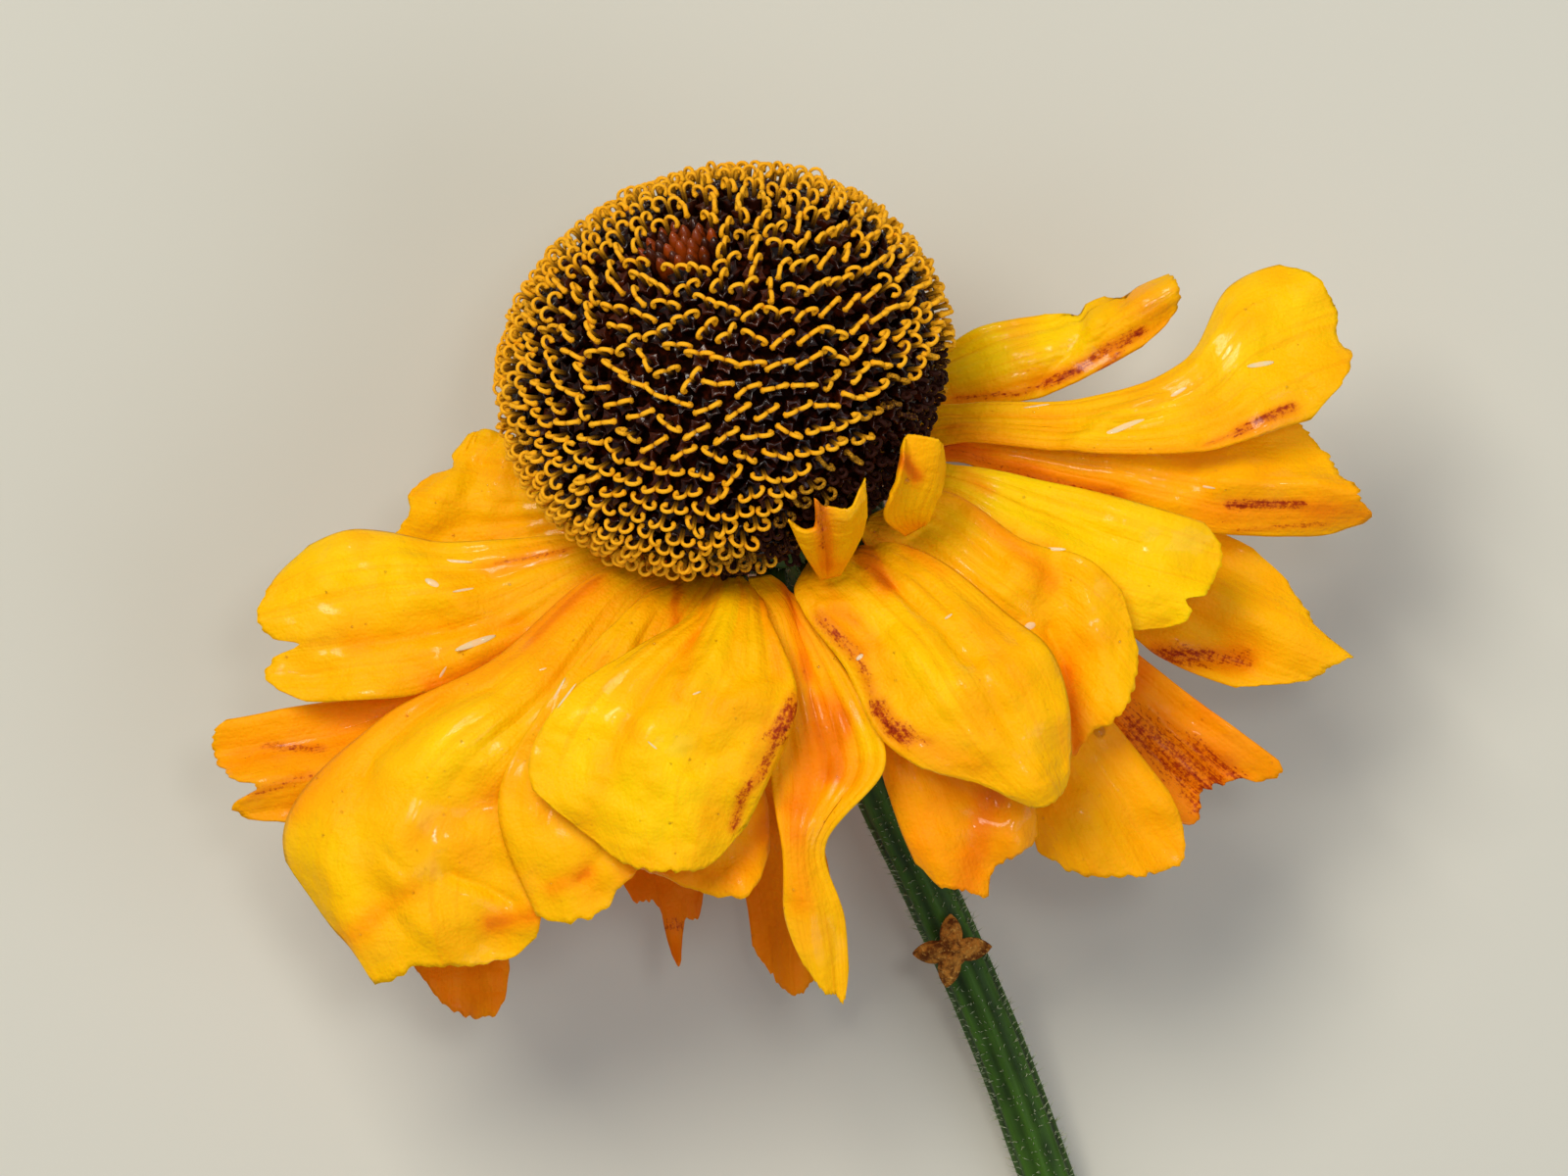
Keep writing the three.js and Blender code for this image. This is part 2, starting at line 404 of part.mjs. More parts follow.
const STUNTED_ROWS = 5;

function stuntedSolid(ray) {
  return bladeSolid(ray, (t, v) => bladePoint(ray, ray.rows, t, v), STUNTED_ROWS);
}

// Disc: a dark core, and paired curled styles that stand out of it by the golden angle
const CORE_RADIUS = DISC_RADIUS - STYLE_HEIGHT;
const CORE_HALF_HEIGHT = DISC_HALF_HEIGHT - STYLE_HEIGHT;
const GOLDEN_ANGLE = 180 * (3 - Math.sqrt(5));
const LOWEST_STYLE = -0.72;       // share of the half height
const CORE_SIDES = 18;
const CORE_RINGS = 7;
const CORE_TOP = 82;              // degrees above the disc's equator

// A place on the core, whose underside is wide enough to cover the receptacle
// and whose middle, where the florets haven't opened, is a shallow dimple
function onCore(degrees, rise) {
  const radius = Math.max(CORE_RADIUS * Math.cos(rise), rise < 0 ? DISC_FLOOR_RADIUS : 0);
  const dimple = rise > 0 ? DIMPLE_DEPTH * Math.exp(-((radius / DIMPLE_RADIUS) ** 2)) : 0;
  return onRing(degrees, radius, CORE_HALF_HEIGHT * Math.sin(rise) - dimple);
}

function coreSolid() {
  const loops = [];
  const lowest = Math.asin(DISC_FLOOR / CORE_HALF_HEIGHT);
  const highest = radians(CORE_TOP);
  for (let i = 0; i <= CORE_RINGS; i += 1) {
    const rise = lowest + (highest - lowest) * (i / CORE_RINGS);
    const loop = [];
    for (let j = 0; j < CORE_SIDES; j += 1) loop.push(onCore(-360 * j / CORE_SIDES, rise));
    loops.push(loop);
  }
  return loft(loops);
}

// One style, larger than life: its two branches part at the top and curl down to the florets below
const STYLE_LINE = [[1.05, -0.35], [0.62, 0.85], [-0.62, 0.85], [-1.05, -0.35]];

function styleSolid(foot, outward, along) {
  const beside = outward.clone().cross(along);
  const points = STYLE_LINE.map(([across, up]) => foot.clone()
    .addScaledVector(along, across * STYLE_SPREAD)
    .addScaledVector(outward, up * STYLE_HEIGHT));
  const loops = points.map((point, i) => {
    const before = points[Math.max(i - 1, 0)];
    const after = points[Math.min(i + 1, points.length - 1)];
    const up = after.clone().sub(before).normalize().cross(beside);
    return [60, 180, 300].map((turn) => point.clone()
      .addScaledVector(up, STYLE_TUBE * Math.cos(radians(turn)))
      .addScaledVector(beside, STYLE_TUBE * Math.sin(radians(turn))));
  });
  return loft(loops);
}

function discGeometry() {
  const random = seededRandom(7);
  const parts = [solidFrom(coreSolid())];
  for (let i = 0; i < STYLE_COUNT; i += 1) {
    const share = 1 - ((i + 0.5) / STYLE_COUNT) * (1 - LOWEST_STYLE);
    const turn = (i * GOLDEN_ANGLE) % 360;
    const spread = Math.sqrt(1 - share * share);
    const foot = onCore(turn, Math.asin(share));
    const outward = onRing(turn, spread / CORE_RADIUS, share / CORE_HALF_HEIGHT).normalize();
    const tangent = ringTangent(turn);
    const slope = outward.clone().cross(tangent);
    const swing = radians(50 * (random() - 0.5));
    const along = tangent.multiplyScalar(Math.cos(swing)).addScaledVector(slope, Math.sin(swing));
    parts.push(solidFrom(styleSolid(foot, outward, along)));
  }
  return geometryOf(wasm.Manifold.union(parts));
}

// Stem: ribbed, arched down to the surface, widening into the receptacle under the disc
const STEM_ROUTE = [
  onRing(0, 0, -6.6), onRing(0, 0, -7.4), onRing(0, 0, -8.2), onRing(0, 0, -9.4), onRing(0, 0, -11.2),
  vec(4.7, -12.9, -9.0), vec(6.5, -17.5, -11.2), vec(8.5, -21.6, -13.1), vec(10.3, -25.5, -14.7),
  vec(12.1, -29.8, -16.3), vec(13.7, -34.2, -17.55), vec(15.3, -38.6, -18.35), vec(16.7, -43.0, -18.8),
  vec(18.0, -47.4, -18.85), vec(19.3, -51.8, -18.85), vec(20.6, -56.2, -18.85),
];
const STEM_WIDTHS = [1, 0.95, 0.7, 0.44, 0.31];   // shares of RECEPTACLE_RADIUS where the stem widens
const RIB_DEPTH = 0.12;
const STEM_SIDES = 2 * STEM_RIBS;

function stemSolid() {
  const curve = new THREE.CatmullRomCurve3(STEM_ROUTE);
  const loops = STEM_ROUTE.map((point, i) => {
    const tangent = curve.getTangent(i / (STEM_ROUTE.length - 1));
    const side = vec(0, 0, 1).cross(tangent).normalize();
    const up = tangent.clone().cross(side);
    const radius = i < STEM_WIDTHS.length ? STEM_WIDTHS[i] * RECEPTACLE_RADIUS : STEM_RADIUS;
    const loop = [];
    for (let j = 0; j < STEM_SIDES; j += 1) {
      const turn = (2 * Math.PI * j) / STEM_SIDES;
      const ribbed = radius * (1 - (j % 2 === 0 ? 0 : RIB_DEPTH));
      loop.push(point.clone().addScaledVector(side, ribbed * Math.cos(turn))
        .addScaledVector(up, ribbed * Math.sin(turn)));
    }
    return loop;
  });
  return loft(loops);
}

// The middle of a bract: distance from the axis, level along it, and width
const BRACT_LINE = [[2.9, -7.9, 1.3], [4.1, -8.6, 1.3], [4.2, -9.8, 1.1], [3.6, -11.4, 0.8],
  [3.0, -13.0, 0.45]];

// A narrow green bract that bends back along the stem
function bractSolid(degrees) {
  const tangent = ringTangent(degrees);
  const loops = BRACT_LINE.map(([radius, level, width], i) => {
    const before = BRACT_LINE[Math.max(i - 1, 0)];
    const after = BRACT_LINE[Math.min(i + 1, BRACT_LINE.length - 1)];
    const lean = onRing(degrees, after[0] - before[0], after[1] - before[1]).normalize();
    const face = lean.clone().cross(tangent);
    const middle = onRing(degrees, radius, level);
    return [[-1, -1], [1, -1], [1, 1], [-1, 1]].map(([across, over]) => middle.clone()
      .addScaledVector(tangent, across * width / 2)
      .addScaledVector(face, -over * RAY_THICKNESS / 2));
  });
  return loft(loops);
}

function stemGeometry() {
  const parts = [solidFrom(stemSolid())];
  for (let i = 0; i < BRACT_COUNT; i += 1) {
    parts.push(solidFrom(bractSolid((360 * (i + 0.4)) / BRACT_COUNT)));
  }
  return geometryOf(wasm.Manifold.union(parts));
}

// A withered scrap of flower, shrivelled to four short arms, that lies across the stem
const SCRAP_MIDDLE = vec(9.6, -24.5, -12.45);
const SCRAP_ARMS = [[6, 1.75], [92, 1.6], [184, 1.7], [262, 1.6]];   // direction in degrees, length
const SCRAP_WAIST = 0.7;
const SCRAP_STEPS = 32;

function scrapOutline(degrees) {
  let radius = SCRAP_WAIST;
  for (const [direction, length] of SCRAP_ARMS) {
    const apart = Math.abs(((degrees - direction + 540) % 360) - 180);
    radius = Math.max(radius, SCRAP_WAIST + (length - SCRAP_WAIST) * Math.max(0, 1 - apart / 42));
  }
  return radius;
}

function scrapGeometry() {
  const lift = (radius) => 0.35 - 0.16 * radius * radius;
  const ring = (share, rise) => {
    const loop = [];
    for (let j = 0; j < SCRAP_STEPS; j += 1) {
      const degrees = (360 * j) / SCRAP_STEPS;
      const radius = share * scrapOutline(degrees);
      loop.push(SCRAP_MIDDLE.clone().add(vec(radius * Math.cos(radians(degrees)),
        radius * Math.sin(radians(degrees)), lift(radius) + rise)));
    }
    return loop;
  };
  return loft([ring(0.45, 0), ring(1, 0.1), ring(1, 0.5), ring(0.5, 0.6)]);
}

const petalYellow = { color: 0xffb800, roughness: 0.35, metalness: 0 };
const FLOWER_PARTS = [
  ['stem', stemGeometry(), { color: 0x2c4412, roughness: 0.7, metalness: 0 }],
  ['disc', discGeometry(), { color: 0xd98a1a, roughness: 0.6, metalness: 0 }],
  ['dry_scrap', scrapGeometry(), { color: 0x80552c, roughness: 0.9, metalness: 0 }],
  ...RAYS.map((ray) => [ray.name, raySolid(ray), petalYellow]),
  ...STUNTED_RAYS.map((ray) => [ray.name, stuntedSolid(ray), petalYellow]),
];

const flower = new THREE.Group();
for (const [name, geometry, finish] of FLOWER_PARTS) {
  const mesh = new THREE.Mesh(geometry, new THREE.MeshStandardMaterial(finish));
  mesh.name = name;
  flower.add(mesh);
}
flower.position.set(DISC_EAST, DISC_NORTH, DISC_LIFT);

const part = new THREE.Group();
part.add(flower);

export default part;
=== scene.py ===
"""The looks of a sneezeweed head that lies on its side: rays, disc, stem, hairs, dew and a studio.

Sizes are in millimetres from the middle of the disc, with +Z up and the stem along -Y, until a
mesh is made: make_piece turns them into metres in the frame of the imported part.
"""

import logging
import math
from dataclasses import dataclass, field
from enum import Enum

import bpy
import numpy as np
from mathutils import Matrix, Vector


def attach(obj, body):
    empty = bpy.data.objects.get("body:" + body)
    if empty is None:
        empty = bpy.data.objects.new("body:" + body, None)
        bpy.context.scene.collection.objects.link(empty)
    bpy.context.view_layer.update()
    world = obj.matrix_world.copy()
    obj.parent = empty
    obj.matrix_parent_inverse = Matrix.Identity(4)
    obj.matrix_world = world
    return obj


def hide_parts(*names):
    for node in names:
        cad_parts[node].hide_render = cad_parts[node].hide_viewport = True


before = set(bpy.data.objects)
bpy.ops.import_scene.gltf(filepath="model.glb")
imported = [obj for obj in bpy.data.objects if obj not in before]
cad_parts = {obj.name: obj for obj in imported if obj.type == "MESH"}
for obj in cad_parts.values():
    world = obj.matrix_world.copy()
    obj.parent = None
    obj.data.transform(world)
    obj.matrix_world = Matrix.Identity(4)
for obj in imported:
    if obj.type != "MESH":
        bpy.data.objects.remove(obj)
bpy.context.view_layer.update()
LOG = logging.getLogger("sneezeweed")

MM = 0.001
BODY = "root"
DISC_MIDDLE = np.array([-2.72, 23.96, 20.0])   # middle of the disc in the part's own frame

# The photograph's view, as sizes in the plane through the middle of the disc
FIELD_WIDTH = 65.3              # what the frame shows from side to side
EYE_HEIGHT = 500.0              # from that plane up to the eye
EYE_ACROSS = 2.45               # the eye's place from the middle of the disc
EYE_ALONG = -9.02
FILM_WIDTH = 36.0

# The flower's own sizes, the same as in the solids
DISC_RADIUS = 9.6
DISC_HALF_HEIGHT = 8.0
STYLE_HEIGHT = 1.25
CORE_RADIUS = DISC_RADIUS - STYLE_HEIGHT
CORE_HALF_HEIGHT = DISC_HALF_HEIGHT - STYLE_HEIGHT
DISC_FLOOR = -6.3
DISC_FLOOR_RADIUS = 5.0
DIMPLE_DEPTH = 0.8
DIMPLE_RADIUS = 3.4
RING_RADIUS = 5.0
RING_LEVEL = -7.1
UNDER_RADIUS = 4.8
UNDER_LEVEL = -7.9
CLAW_WIDTH = 1.0
RAY_PITCH = 15.0
FIRST_SLOT_TURN = -3.0
RECEPTACLE_RADIUS = 4.6
STEM_RADIUS = 1.15
LEAN = 34.0
GOLDEN_ANGLE = 180.0 * (3.0 - math.sqrt(5.0))


def unit(vector: np.ndarray) -> np.ndarray:
    """Returns the vectors along the last axis at length 1."""
    return vector / np.maximum(np.linalg.norm(vector, axis=-1, keepdims=True), 1e-9)


ACROSS = unit(np.array([0.94, 0.34, 0.0]))
ALONG = np.array([-ACROSS[1], ACROSS[0], 0.0])
UP = np.array([0.0, 0.0, 1.0])
AXIS = ALONG * math.cos(math.radians(LEAN)) + UP * math.sin(math.radians(LEAN))
FRONT = np.cross(ACROSS, AXIS)


def on_ring(degrees: np.ndarray, radius: np.ndarray, level: np.ndarray) -> np.ndarray:
    """Gives places round the flower's axis.

    Args:
        degrees: Turn round the axis from the side that faces up.
        radius: Distance from the axis.
        level: Height along the axis.

    Returns:
        The places, with x, y and z along the last axis.
    """
    turn = np.radians(np.asarray(degrees, float))[..., None]
    radius = np.asarray(radius, float)[..., None]
    level = np.asarray(level, float)[..., None]
    return level * AXIS + radius * (np.cos(turn) * FRONT + np.sin(turn) * ACROSS)


def ring_tangent(degrees: np.ndarray) -> np.ndarray:
    """Returns the direction along the ring at each turn round the axis."""
    turn = np.radians(np.asarray(degrees, float))[..., None]
    return np.cos(turn) * ACROSS - np.sin(turn) * FRONT


def through(rows: np.ndarray, t: np.ndarray) -> np.ndarray:
    """Follows a smooth curve through rows of numbers.

    Args:
        rows: The rows, one for each place on the curve.
        t: Where to read, from 0 at the first row to 1 at the last.

    Returns:
        One row of numbers for every value of t.
    """
    place = np.clip(t, 0.0, 0.999999) * (len(rows) - 1)
    i = place.astype(int)
    f = (place - i)[..., None]
    here, ahead = rows[i], rows[i + 1]
    before = rows[np.maximum(i - 1, 0)]
    after = rows[np.minimum(i + 2, len(rows) - 1)]
    leave = np.where((i > 0)[..., None], (ahead - before) / 2, ahead - here)
    arrive = np.where((i < len(rows) - 2)[..., None], (after - here) / 2, ahead - here)
    return ((2 * f**3 - 3 * f**2 + 1) * here + (f**3 - 2 * f**2 + f) * leave
            + (3 * f**2 - 2 * f**3) * ahead + (f**3 - f**2) * arrive)


def smoothstep(low: float, high: float, value: np.ndarray) -> np.ndarray:
    """Returns 0 below low, 1 above high and a smooth rise between them."""
    x = np.clip((value - low) / (high - low), 0.0, 1.0)
    return x * x * (3 - 2 * x)


class Ripple:
    """A smooth random relief, the same at every run: plane waves of about one length added up."""

    def __init__(self, seed: int, length: float, count: int = 20) -> None:
        """Draws the waves.

        Args:
            seed: Chooses the relief.
            length: The waves' usual length in mm.
            count: How many waves.
        """
        draw = np.random.default_rng(seed)
        turn = draw.uniform(0, 2 * np.pi, count)
        number = 2 * np.pi / (length * draw.uniform(0.7, 1.6, count))
        self.across = number * np.cos(turn)
        self.along = number * np.sin(turn)
        self.start = draw.uniform(0, 2 * np.pi, count)

    def at(self, x: np.ndarray, y: np.ndarray) -> np.ndarray:
        """Returns the relief at x, y, mostly between -1 and 1."""
        waves = np.sin(x[..., None] * self.across + y[..., None] * self.along + self.start)
        return waves.sum(-1) / math.sqrt(len(self.start))


def linear(hex_colour: str) -> tuple[float, float, float, float]:
    """Turns an sRGB hex colour into the linear colour that a shader takes."""
    parts = [int(hex_colour[k:k + 2], 16) / 255 for k in (1, 3, 5)]
    flat = [c / 12.92 if c <= 0.04045 else ((c + 0.055) / 1.055) ** 2.4 for c in parts]
    return (flat[0], flat[1], flat[2], 1.0)


class Slot(Enum):
    """The record's material slots."""

    RAY = "ray_gold"
    SHADED_RAY = "ray_amber"
    STYLE = "style_gold"
    FLORET = "floret_dark"
    STEM = "stem_green"
    SCRAP = "dry_brown"
    HAIR = "hair_pale"
    DEW = "dew"


def make_piece(name: str, points: np.ndarray, face_groups: list[np.ndarray],
               material: bpy.types.Material, replaced: tuple[str, ...] = (),
               marks: dict[str, np.ndarray] | None = None) -> bpy.types.Object:
    """Makes a smooth mesh piece that rides with the flower.

    Args:
        name: The piece's name.
        points: Places in mm from the middle of the disc, one a row.
        face_groups: Arrays of corner numbers, each with faces of one kind.
        material: Its finish.
        replaced: The solids that it stands for.
        marks: Named numbers for each point, single or in threes, that its finish reads.

    Returns:
        The piece.
    """
    mesh = bpy.data.meshes.new(name)
    mesh.vertices.add(len(points))
    mesh.vertices.foreach_set("co", ((points + DISC_MIDDLE) * MM).astype(np.float32).ravel())
    corners = np.concatenate([group.ravel() for group in face_groups])
    sizes = np.concatenate([np.full(len(group), group.shape[1]) for group in face_groups])
    starts = np.concatenate([[0], np.cumsum(sizes)[:-1]])
    mesh.loops.add(len(corners))
    mesh.loops.foreach_set("vertex_index", corners.astype(np.int32))
    mesh.polygons.add(len(sizes))
    mesh.polygons.foreach_set("loop_start", starts.astype(np.int32))
    mesh.update(calc_edges=True)
    for mark, values in (marks or {}).items():
        kind = "FLOAT_VECTOR" if values.ndim == 2 else "FLOAT"
        attribute = mesh.attributes.new(mark, kind, "POINT")
        attribute.data.foreach_set("vector" if values.ndim == 2 else "value",
                                   values.astype(np.float32).ravel())
    mesh.validate()
    mesh.shade_smooth()
    mesh.materials.append(material)
    piece = bpy.data.objects.new(name, mesh)
    bpy.context.scene.collection.objects.link(piece)
    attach(piece, BODY)
    if replaced:
        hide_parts(*replaced)
    LOG.info("%s: %d faces", name, len(mesh.polygons))
    return piece


def scattered(points: np.ndarray, faces: np.ndarray) -> tuple[np.ndarray, np.ndarray]:
    """Joins many copies of one small shape into a single list of points and faces.

    Args:
        points: Each copy's points, as copies by points by 3.
        faces: The corner numbers of one copy.

    Returns:
        All points, one a row, and all faces.
    """
    copies, count = points.shape[:2]
    offsets = np.arange(copies)[:, None, None] * count
    return points.reshape(-1, 3), (faces[None] + offsets).reshape(-1, faces.shape[1])


def tube_faces(steps: int, sides: int) -> np.ndarray:
    """Returns the quads of a tube with rings of corners numbered one after another."""
    i, j = np.meshgrid(np.arange(steps - 1), np.arange(sides), indexing="ij")
    a = i * sides + j
    b = i * sides + (j + 1) % sides
    return np.stack([a, b, b + sides, a + sides], -1).reshape(-1, 4)


def fan_faces(ring: np.ndarray, middle: int) -> np.ndarray:
    """Returns the triangles that close a ring of corners round one middle point."""
    return np.stack([ring, np.roll(ring, -1), np.full(len(ring), middle)], -1)


def end_faces(steps: int, sides: int) -> np.ndarray:
    """Returns the fans that close a tube whose last two points are the middles of its ends."""
    count = steps * sides
    ring = np.arange(sides)
    return np.concatenate([fan_faces(ring[::-1], count),
                           fan_faces(ring + count - sides, count + 1)])


def add_node(tree: bpy.types.NodeTree, kind: str, sockets: dict | None = None,
             **settings: object) -> bpy.types.Node:
    """Adds a shader node.

    Args:
        tree: The material's node tree.
        kind: The node's kind, without the leading ShaderNode.
        sockets: Input names or numbers with a value, or with the output that feeds them.
        settings: The node's own settings.

    Returns:
        The node.
    """
    node = tree.nodes.new("ShaderNode" + kind)
    for name, value in settings.items():
        setattr(node, name, value)
    for name, value in (sockets or {}).items():
        if isinstance(value, bpy.types.NodeSocket):
            tree.links.new(value, node.inputs[name])
        else:
            node.inputs[name].default_value = value
    return node


MIX_FACTOR, MIX_FROM, MIX_TO, MIX_RESULT = 0, 6, 7, 2   # sockets of a Mix node set to colours


def mixed(tree: bpy.types.NodeTree, share: object, first: object,
          second: object) -> bpy.types.NodeSocket:
    """Adds a mix of two colours.

    Args:
        tree: The material's node tree.
        share: How much of the second there is, a number or an output.
        first: A colour or an output.
        second: A colour or an output.

    Returns:
        The mixed colour's output.
    """
    node = add_node(tree, "Mix", {MIX_FACTOR: share, MIX_FROM: first, MIX_TO: second},
                    data_type="RGBA")
    return node.outputs[MIX_RESULT]


def new_material(name: str) -> tuple[bpy.types.Material, bpy.types.NodeTree]:
    """Returns an empty node material and its tree."""
    material = bpy.data.materials.new(name)
    material.use_nodes = True
    material.node_tree.nodes.clear()
    return material, material.node_tree


@dataclass(frozen=True)
class RayFinish:
    """Living ray tissue, damp.

    The eye gets a saturated golden yellow, lighter where light is painted on, orange and deeper
    orange where shade is painted into each hollow, light that shines through a thin blade, fine
    veins along it, a red-brown stain in streaks with an orange halo, and a wet gloss in patches
    on a skin that is otherwise matt.
    """

    name: str = "ray_tissue_damp"
    # painted light: the lighter yellow that lit places are painted with
    bright: str = "#FFCE00"
    base: str = "#FFBA00"
    vein: str = "#F99C00"
    # painted shade: the orange of the shade in each hollow and under the blade
    painted_shade: str = "#FF9200"
    # painted shade: a deeper orange where the painted shade is strongest
    deep: str = "#D46400"
    halo: str = "#DE7604"
    stain: str = "#A63806"
    dark_stain: str = "#5E1604"
    cell: float = 0.16           # mm, the papillae of the skin, drawn as coarse as they show
    vein_spacing: float = 0.55   # mm between veins across the blade
    crinkle: float = 0.9         # mm, the small crumples of the skin
    streak_width: float = 0.22   # mm across a streak of the stain
    streak_length: float = 1.2   # mm along it
    wet_patch: float = 2.6       # mm, how often the skin is wet

    def make(self) -> bpy.types.Material:
        """Returns the material."""
        material, tree = new_material(self.name)
        blade = add_node(tree, "Attribute", attribute_name="blade").outputs["Vector"]
        painted_shade = add_node(tree, "Attribute", attribute_name="painted_shade").outputs["Fac"]
        stain = add_node(tree, "Attribute", attribute_name="stain").outputs["Fac"]
        painted_light = add_node(tree, "Attribute", attribute_name="painted_light").outputs["Fac"]
        place = add_node(tree, "TexCoord").outputs["Object"]
        metres = add_node(tree, "VectorMath", {0: place, 1: (1 / MM,) * 3}, operation="MULTIPLY")
        body = metres.outputs[0]

        cloud = add_node(tree, "TexNoise", {"Vector": body, "Scale": 0.38, "Detail": 4.0})
        stretched = add_node(tree, "VectorMath",
                             {0: blade, 1: (1 / self.vein_spacing, 0.07, 1.0)},
                             operation="MULTIPLY")
        veins = add_node(tree, "TexNoise", {"Vector": stretched.outputs[0], "Scale": 1.0,
                                            "Detail": 3.0, "Roughness": 0.6})
        vein_lines = add_node(tree, "MapRange", {"Value": veins.outputs["Fac"], "From Min": 0.52,
                                                 "From Max": 0.68}, interpolation_type="SMOOTHSTEP")
        speckle = add_node(tree, "TexNoise", {"Vector": body, "Scale": 1 / 0.2, "Detail": 4.0,
                                              "Roughness": 0.7})
        drawn_out = add_node(tree, "VectorMath",
                             {0: blade, 1: (1 / self.streak_width, 1 / self.streak_length, 1.0)},
                             operation="MULTIPLY")
        streak = add_node(tree, "TexNoise", {"Vector": drawn_out.outputs[0], "Scale": 1.0,
                                             "Detail": 3.0, "Roughness": 0.6})
        blotch = add_node(tree, "TexNoise", {"Vector": stretched.outputs[0], "Scale": 0.8,
                                             "Detail": 5.0, "Roughness": 0.7})

        # painted light: along its strokes the yellow is lifted towards the bright colour, more in the
        # cloud's high patches
        sunlit = add_node(tree, "MapRange", {"Value": cloud.outputs["Fac"], "From Min": 0.38,
                                             "From Max": 0.66}, interpolation_type="SMOOTHSTEP")
        lift = add_node(tree, "Math", {0: sunlit.outputs[0], 1: painted_light}, operation="MULTIPLY_ADD")
        tree.links.new(painted_light, lift.inputs[2])
        yellow = mixed(tree, lift.outputs[0], linear(self.base), linear(self.bright))
        vein_share = add_node(tree, "Math", {0: vein_lines.outputs[0], 1: 0.28},
                              operation="MULTIPLY")
        veined = mixed(tree, vein_share.outputs[0], yellow, linear(self.vein))
        # painted shade: the yellow turns orange where the shade mask says, in blotches, and deeper orange
        # where the mask is strong
        painted_shade_blotch = add_node(tree, "Math", {0: blotch.outputs["Fac"], 1: 0.5, 2: 0.75},
                               operation="MULTIPLY_ADD")
        painted_shade_share = add_node(tree, "Math", {0: painted_shade, 1: painted_shade_blotch.outputs[0]},
                               operation="MULTIPLY", use_clamp=True)
        shade_mixed = mixed(tree, painted_shade_share.outputs[0], veined,
                        linear(self.painted_shade))
        deep_shade_share = add_node(tree, "MapRange", {"Value": painted_shade, "From Min": 0.75,
                                                 "From Max": 1.6})
        deep_shade_mixed = mixed(tree, deep_shade_share.outputs[0], shade_mixed,
                         linear(self.deep))
        wash = add_node(tree, "MapRange", {"Value": stain, "From Min": 0.08, "From Max": 0.9,
                                           "To Max": 0.75}, interpolation_type="SMOOTHSTEP")
        washed = mixed(tree, wash.outputs[0], deep_shade_mixed, linear(self.halo))
        grains = add_node(tree, "Mix", {0: 0.6, 2: streak.outputs["Fac"],
                                        3: speckle.outputs["Fac"]})
        stain_height = add_node(tree, "Math", {0: stain, 1: 0.34, 2: grains.outputs[0]},
                                operation="MULTIPLY_ADD")
        stain_share = add_node(tree, "MapRange", {"Value": stain_height.outputs[0],
                                                  "From Min": 0.70, "From Max": 0.86},
                               interpolation_type="SMOOTHSTEP")
        stained = mixed(tree, stain_share.outputs[0], washed,
                        linear(self.stain))
        dark_share = add_node(tree, "MapRange", {"Value": stain_height.outputs[0],
                                                 "From Min": 0.86, "From Max": 0.98})
        darkened = mixed(tree, dark_share.outputs[0], stained,
                         linear(self.dark_stain))

        cells = add_node(tree, "TexVoronoi", {"Vector": body, "Scale": 1 / self.cell})
        crumple = add_node(tree, "TexNoise", {"Vector": body, "Scale": 1 / self.crinkle,
                                              "Detail": 3.0, "Roughness": 0.55})
        height = add_node(tree, "Math", {0: crumple.outputs["Fac"], 1: 0.15}, operation="MULTIPLY")
        with_veins = add_node(tree, "Math", {0: veins.outputs["Fac"], 1: 0.07,
                                             2: height.outputs[0]}, operation="MULTIPLY_ADD")
        with_cells = add_node(tree, "Math", {0: cells.outputs["Distance"], 1: -0.02,
                                             2: with_veins.outputs[0]}, operation="MULTIPLY_ADD")
        bump = add_node(tree, "Bump", {"Height": with_cells.outputs[0], "Distance": MM,
                                       "Strength": 0.9})
        damp = add_node(tree, "TexNoise", {"Vector": body, "Scale": 1 / self.wet_patch,
                                           "Detail": 2.0})
        wet = add_node(tree, "MapRange", {"Value": damp.outputs["Fac"], "From Min": 0.52,
                                          "From Max": 0.66, "To Max": 0.55},
                       interpolation_type="SMOOTHSTEP")
        shader = add_node(tree, "BsdfPrincipled", {
            "Base Color": darkened, "Roughness": 0.5, "IOR": 1.4,
            "Specular IOR Level": 0.12, "Subsurface Weight": 0.2,
            "Subsurface Radius": (1.0, 0.5, 0.06), "Subsurface Scale": 0.35 * MM,
            "Coat Weight": wet.outputs[0], "Coat Roughness": 0.08, "Coat IOR": 1.33,
            "Normal": bump.outputs[0]})
        add_node(tree, "OutputMaterial", {"Surface": shader.outputs[0]})
        return material


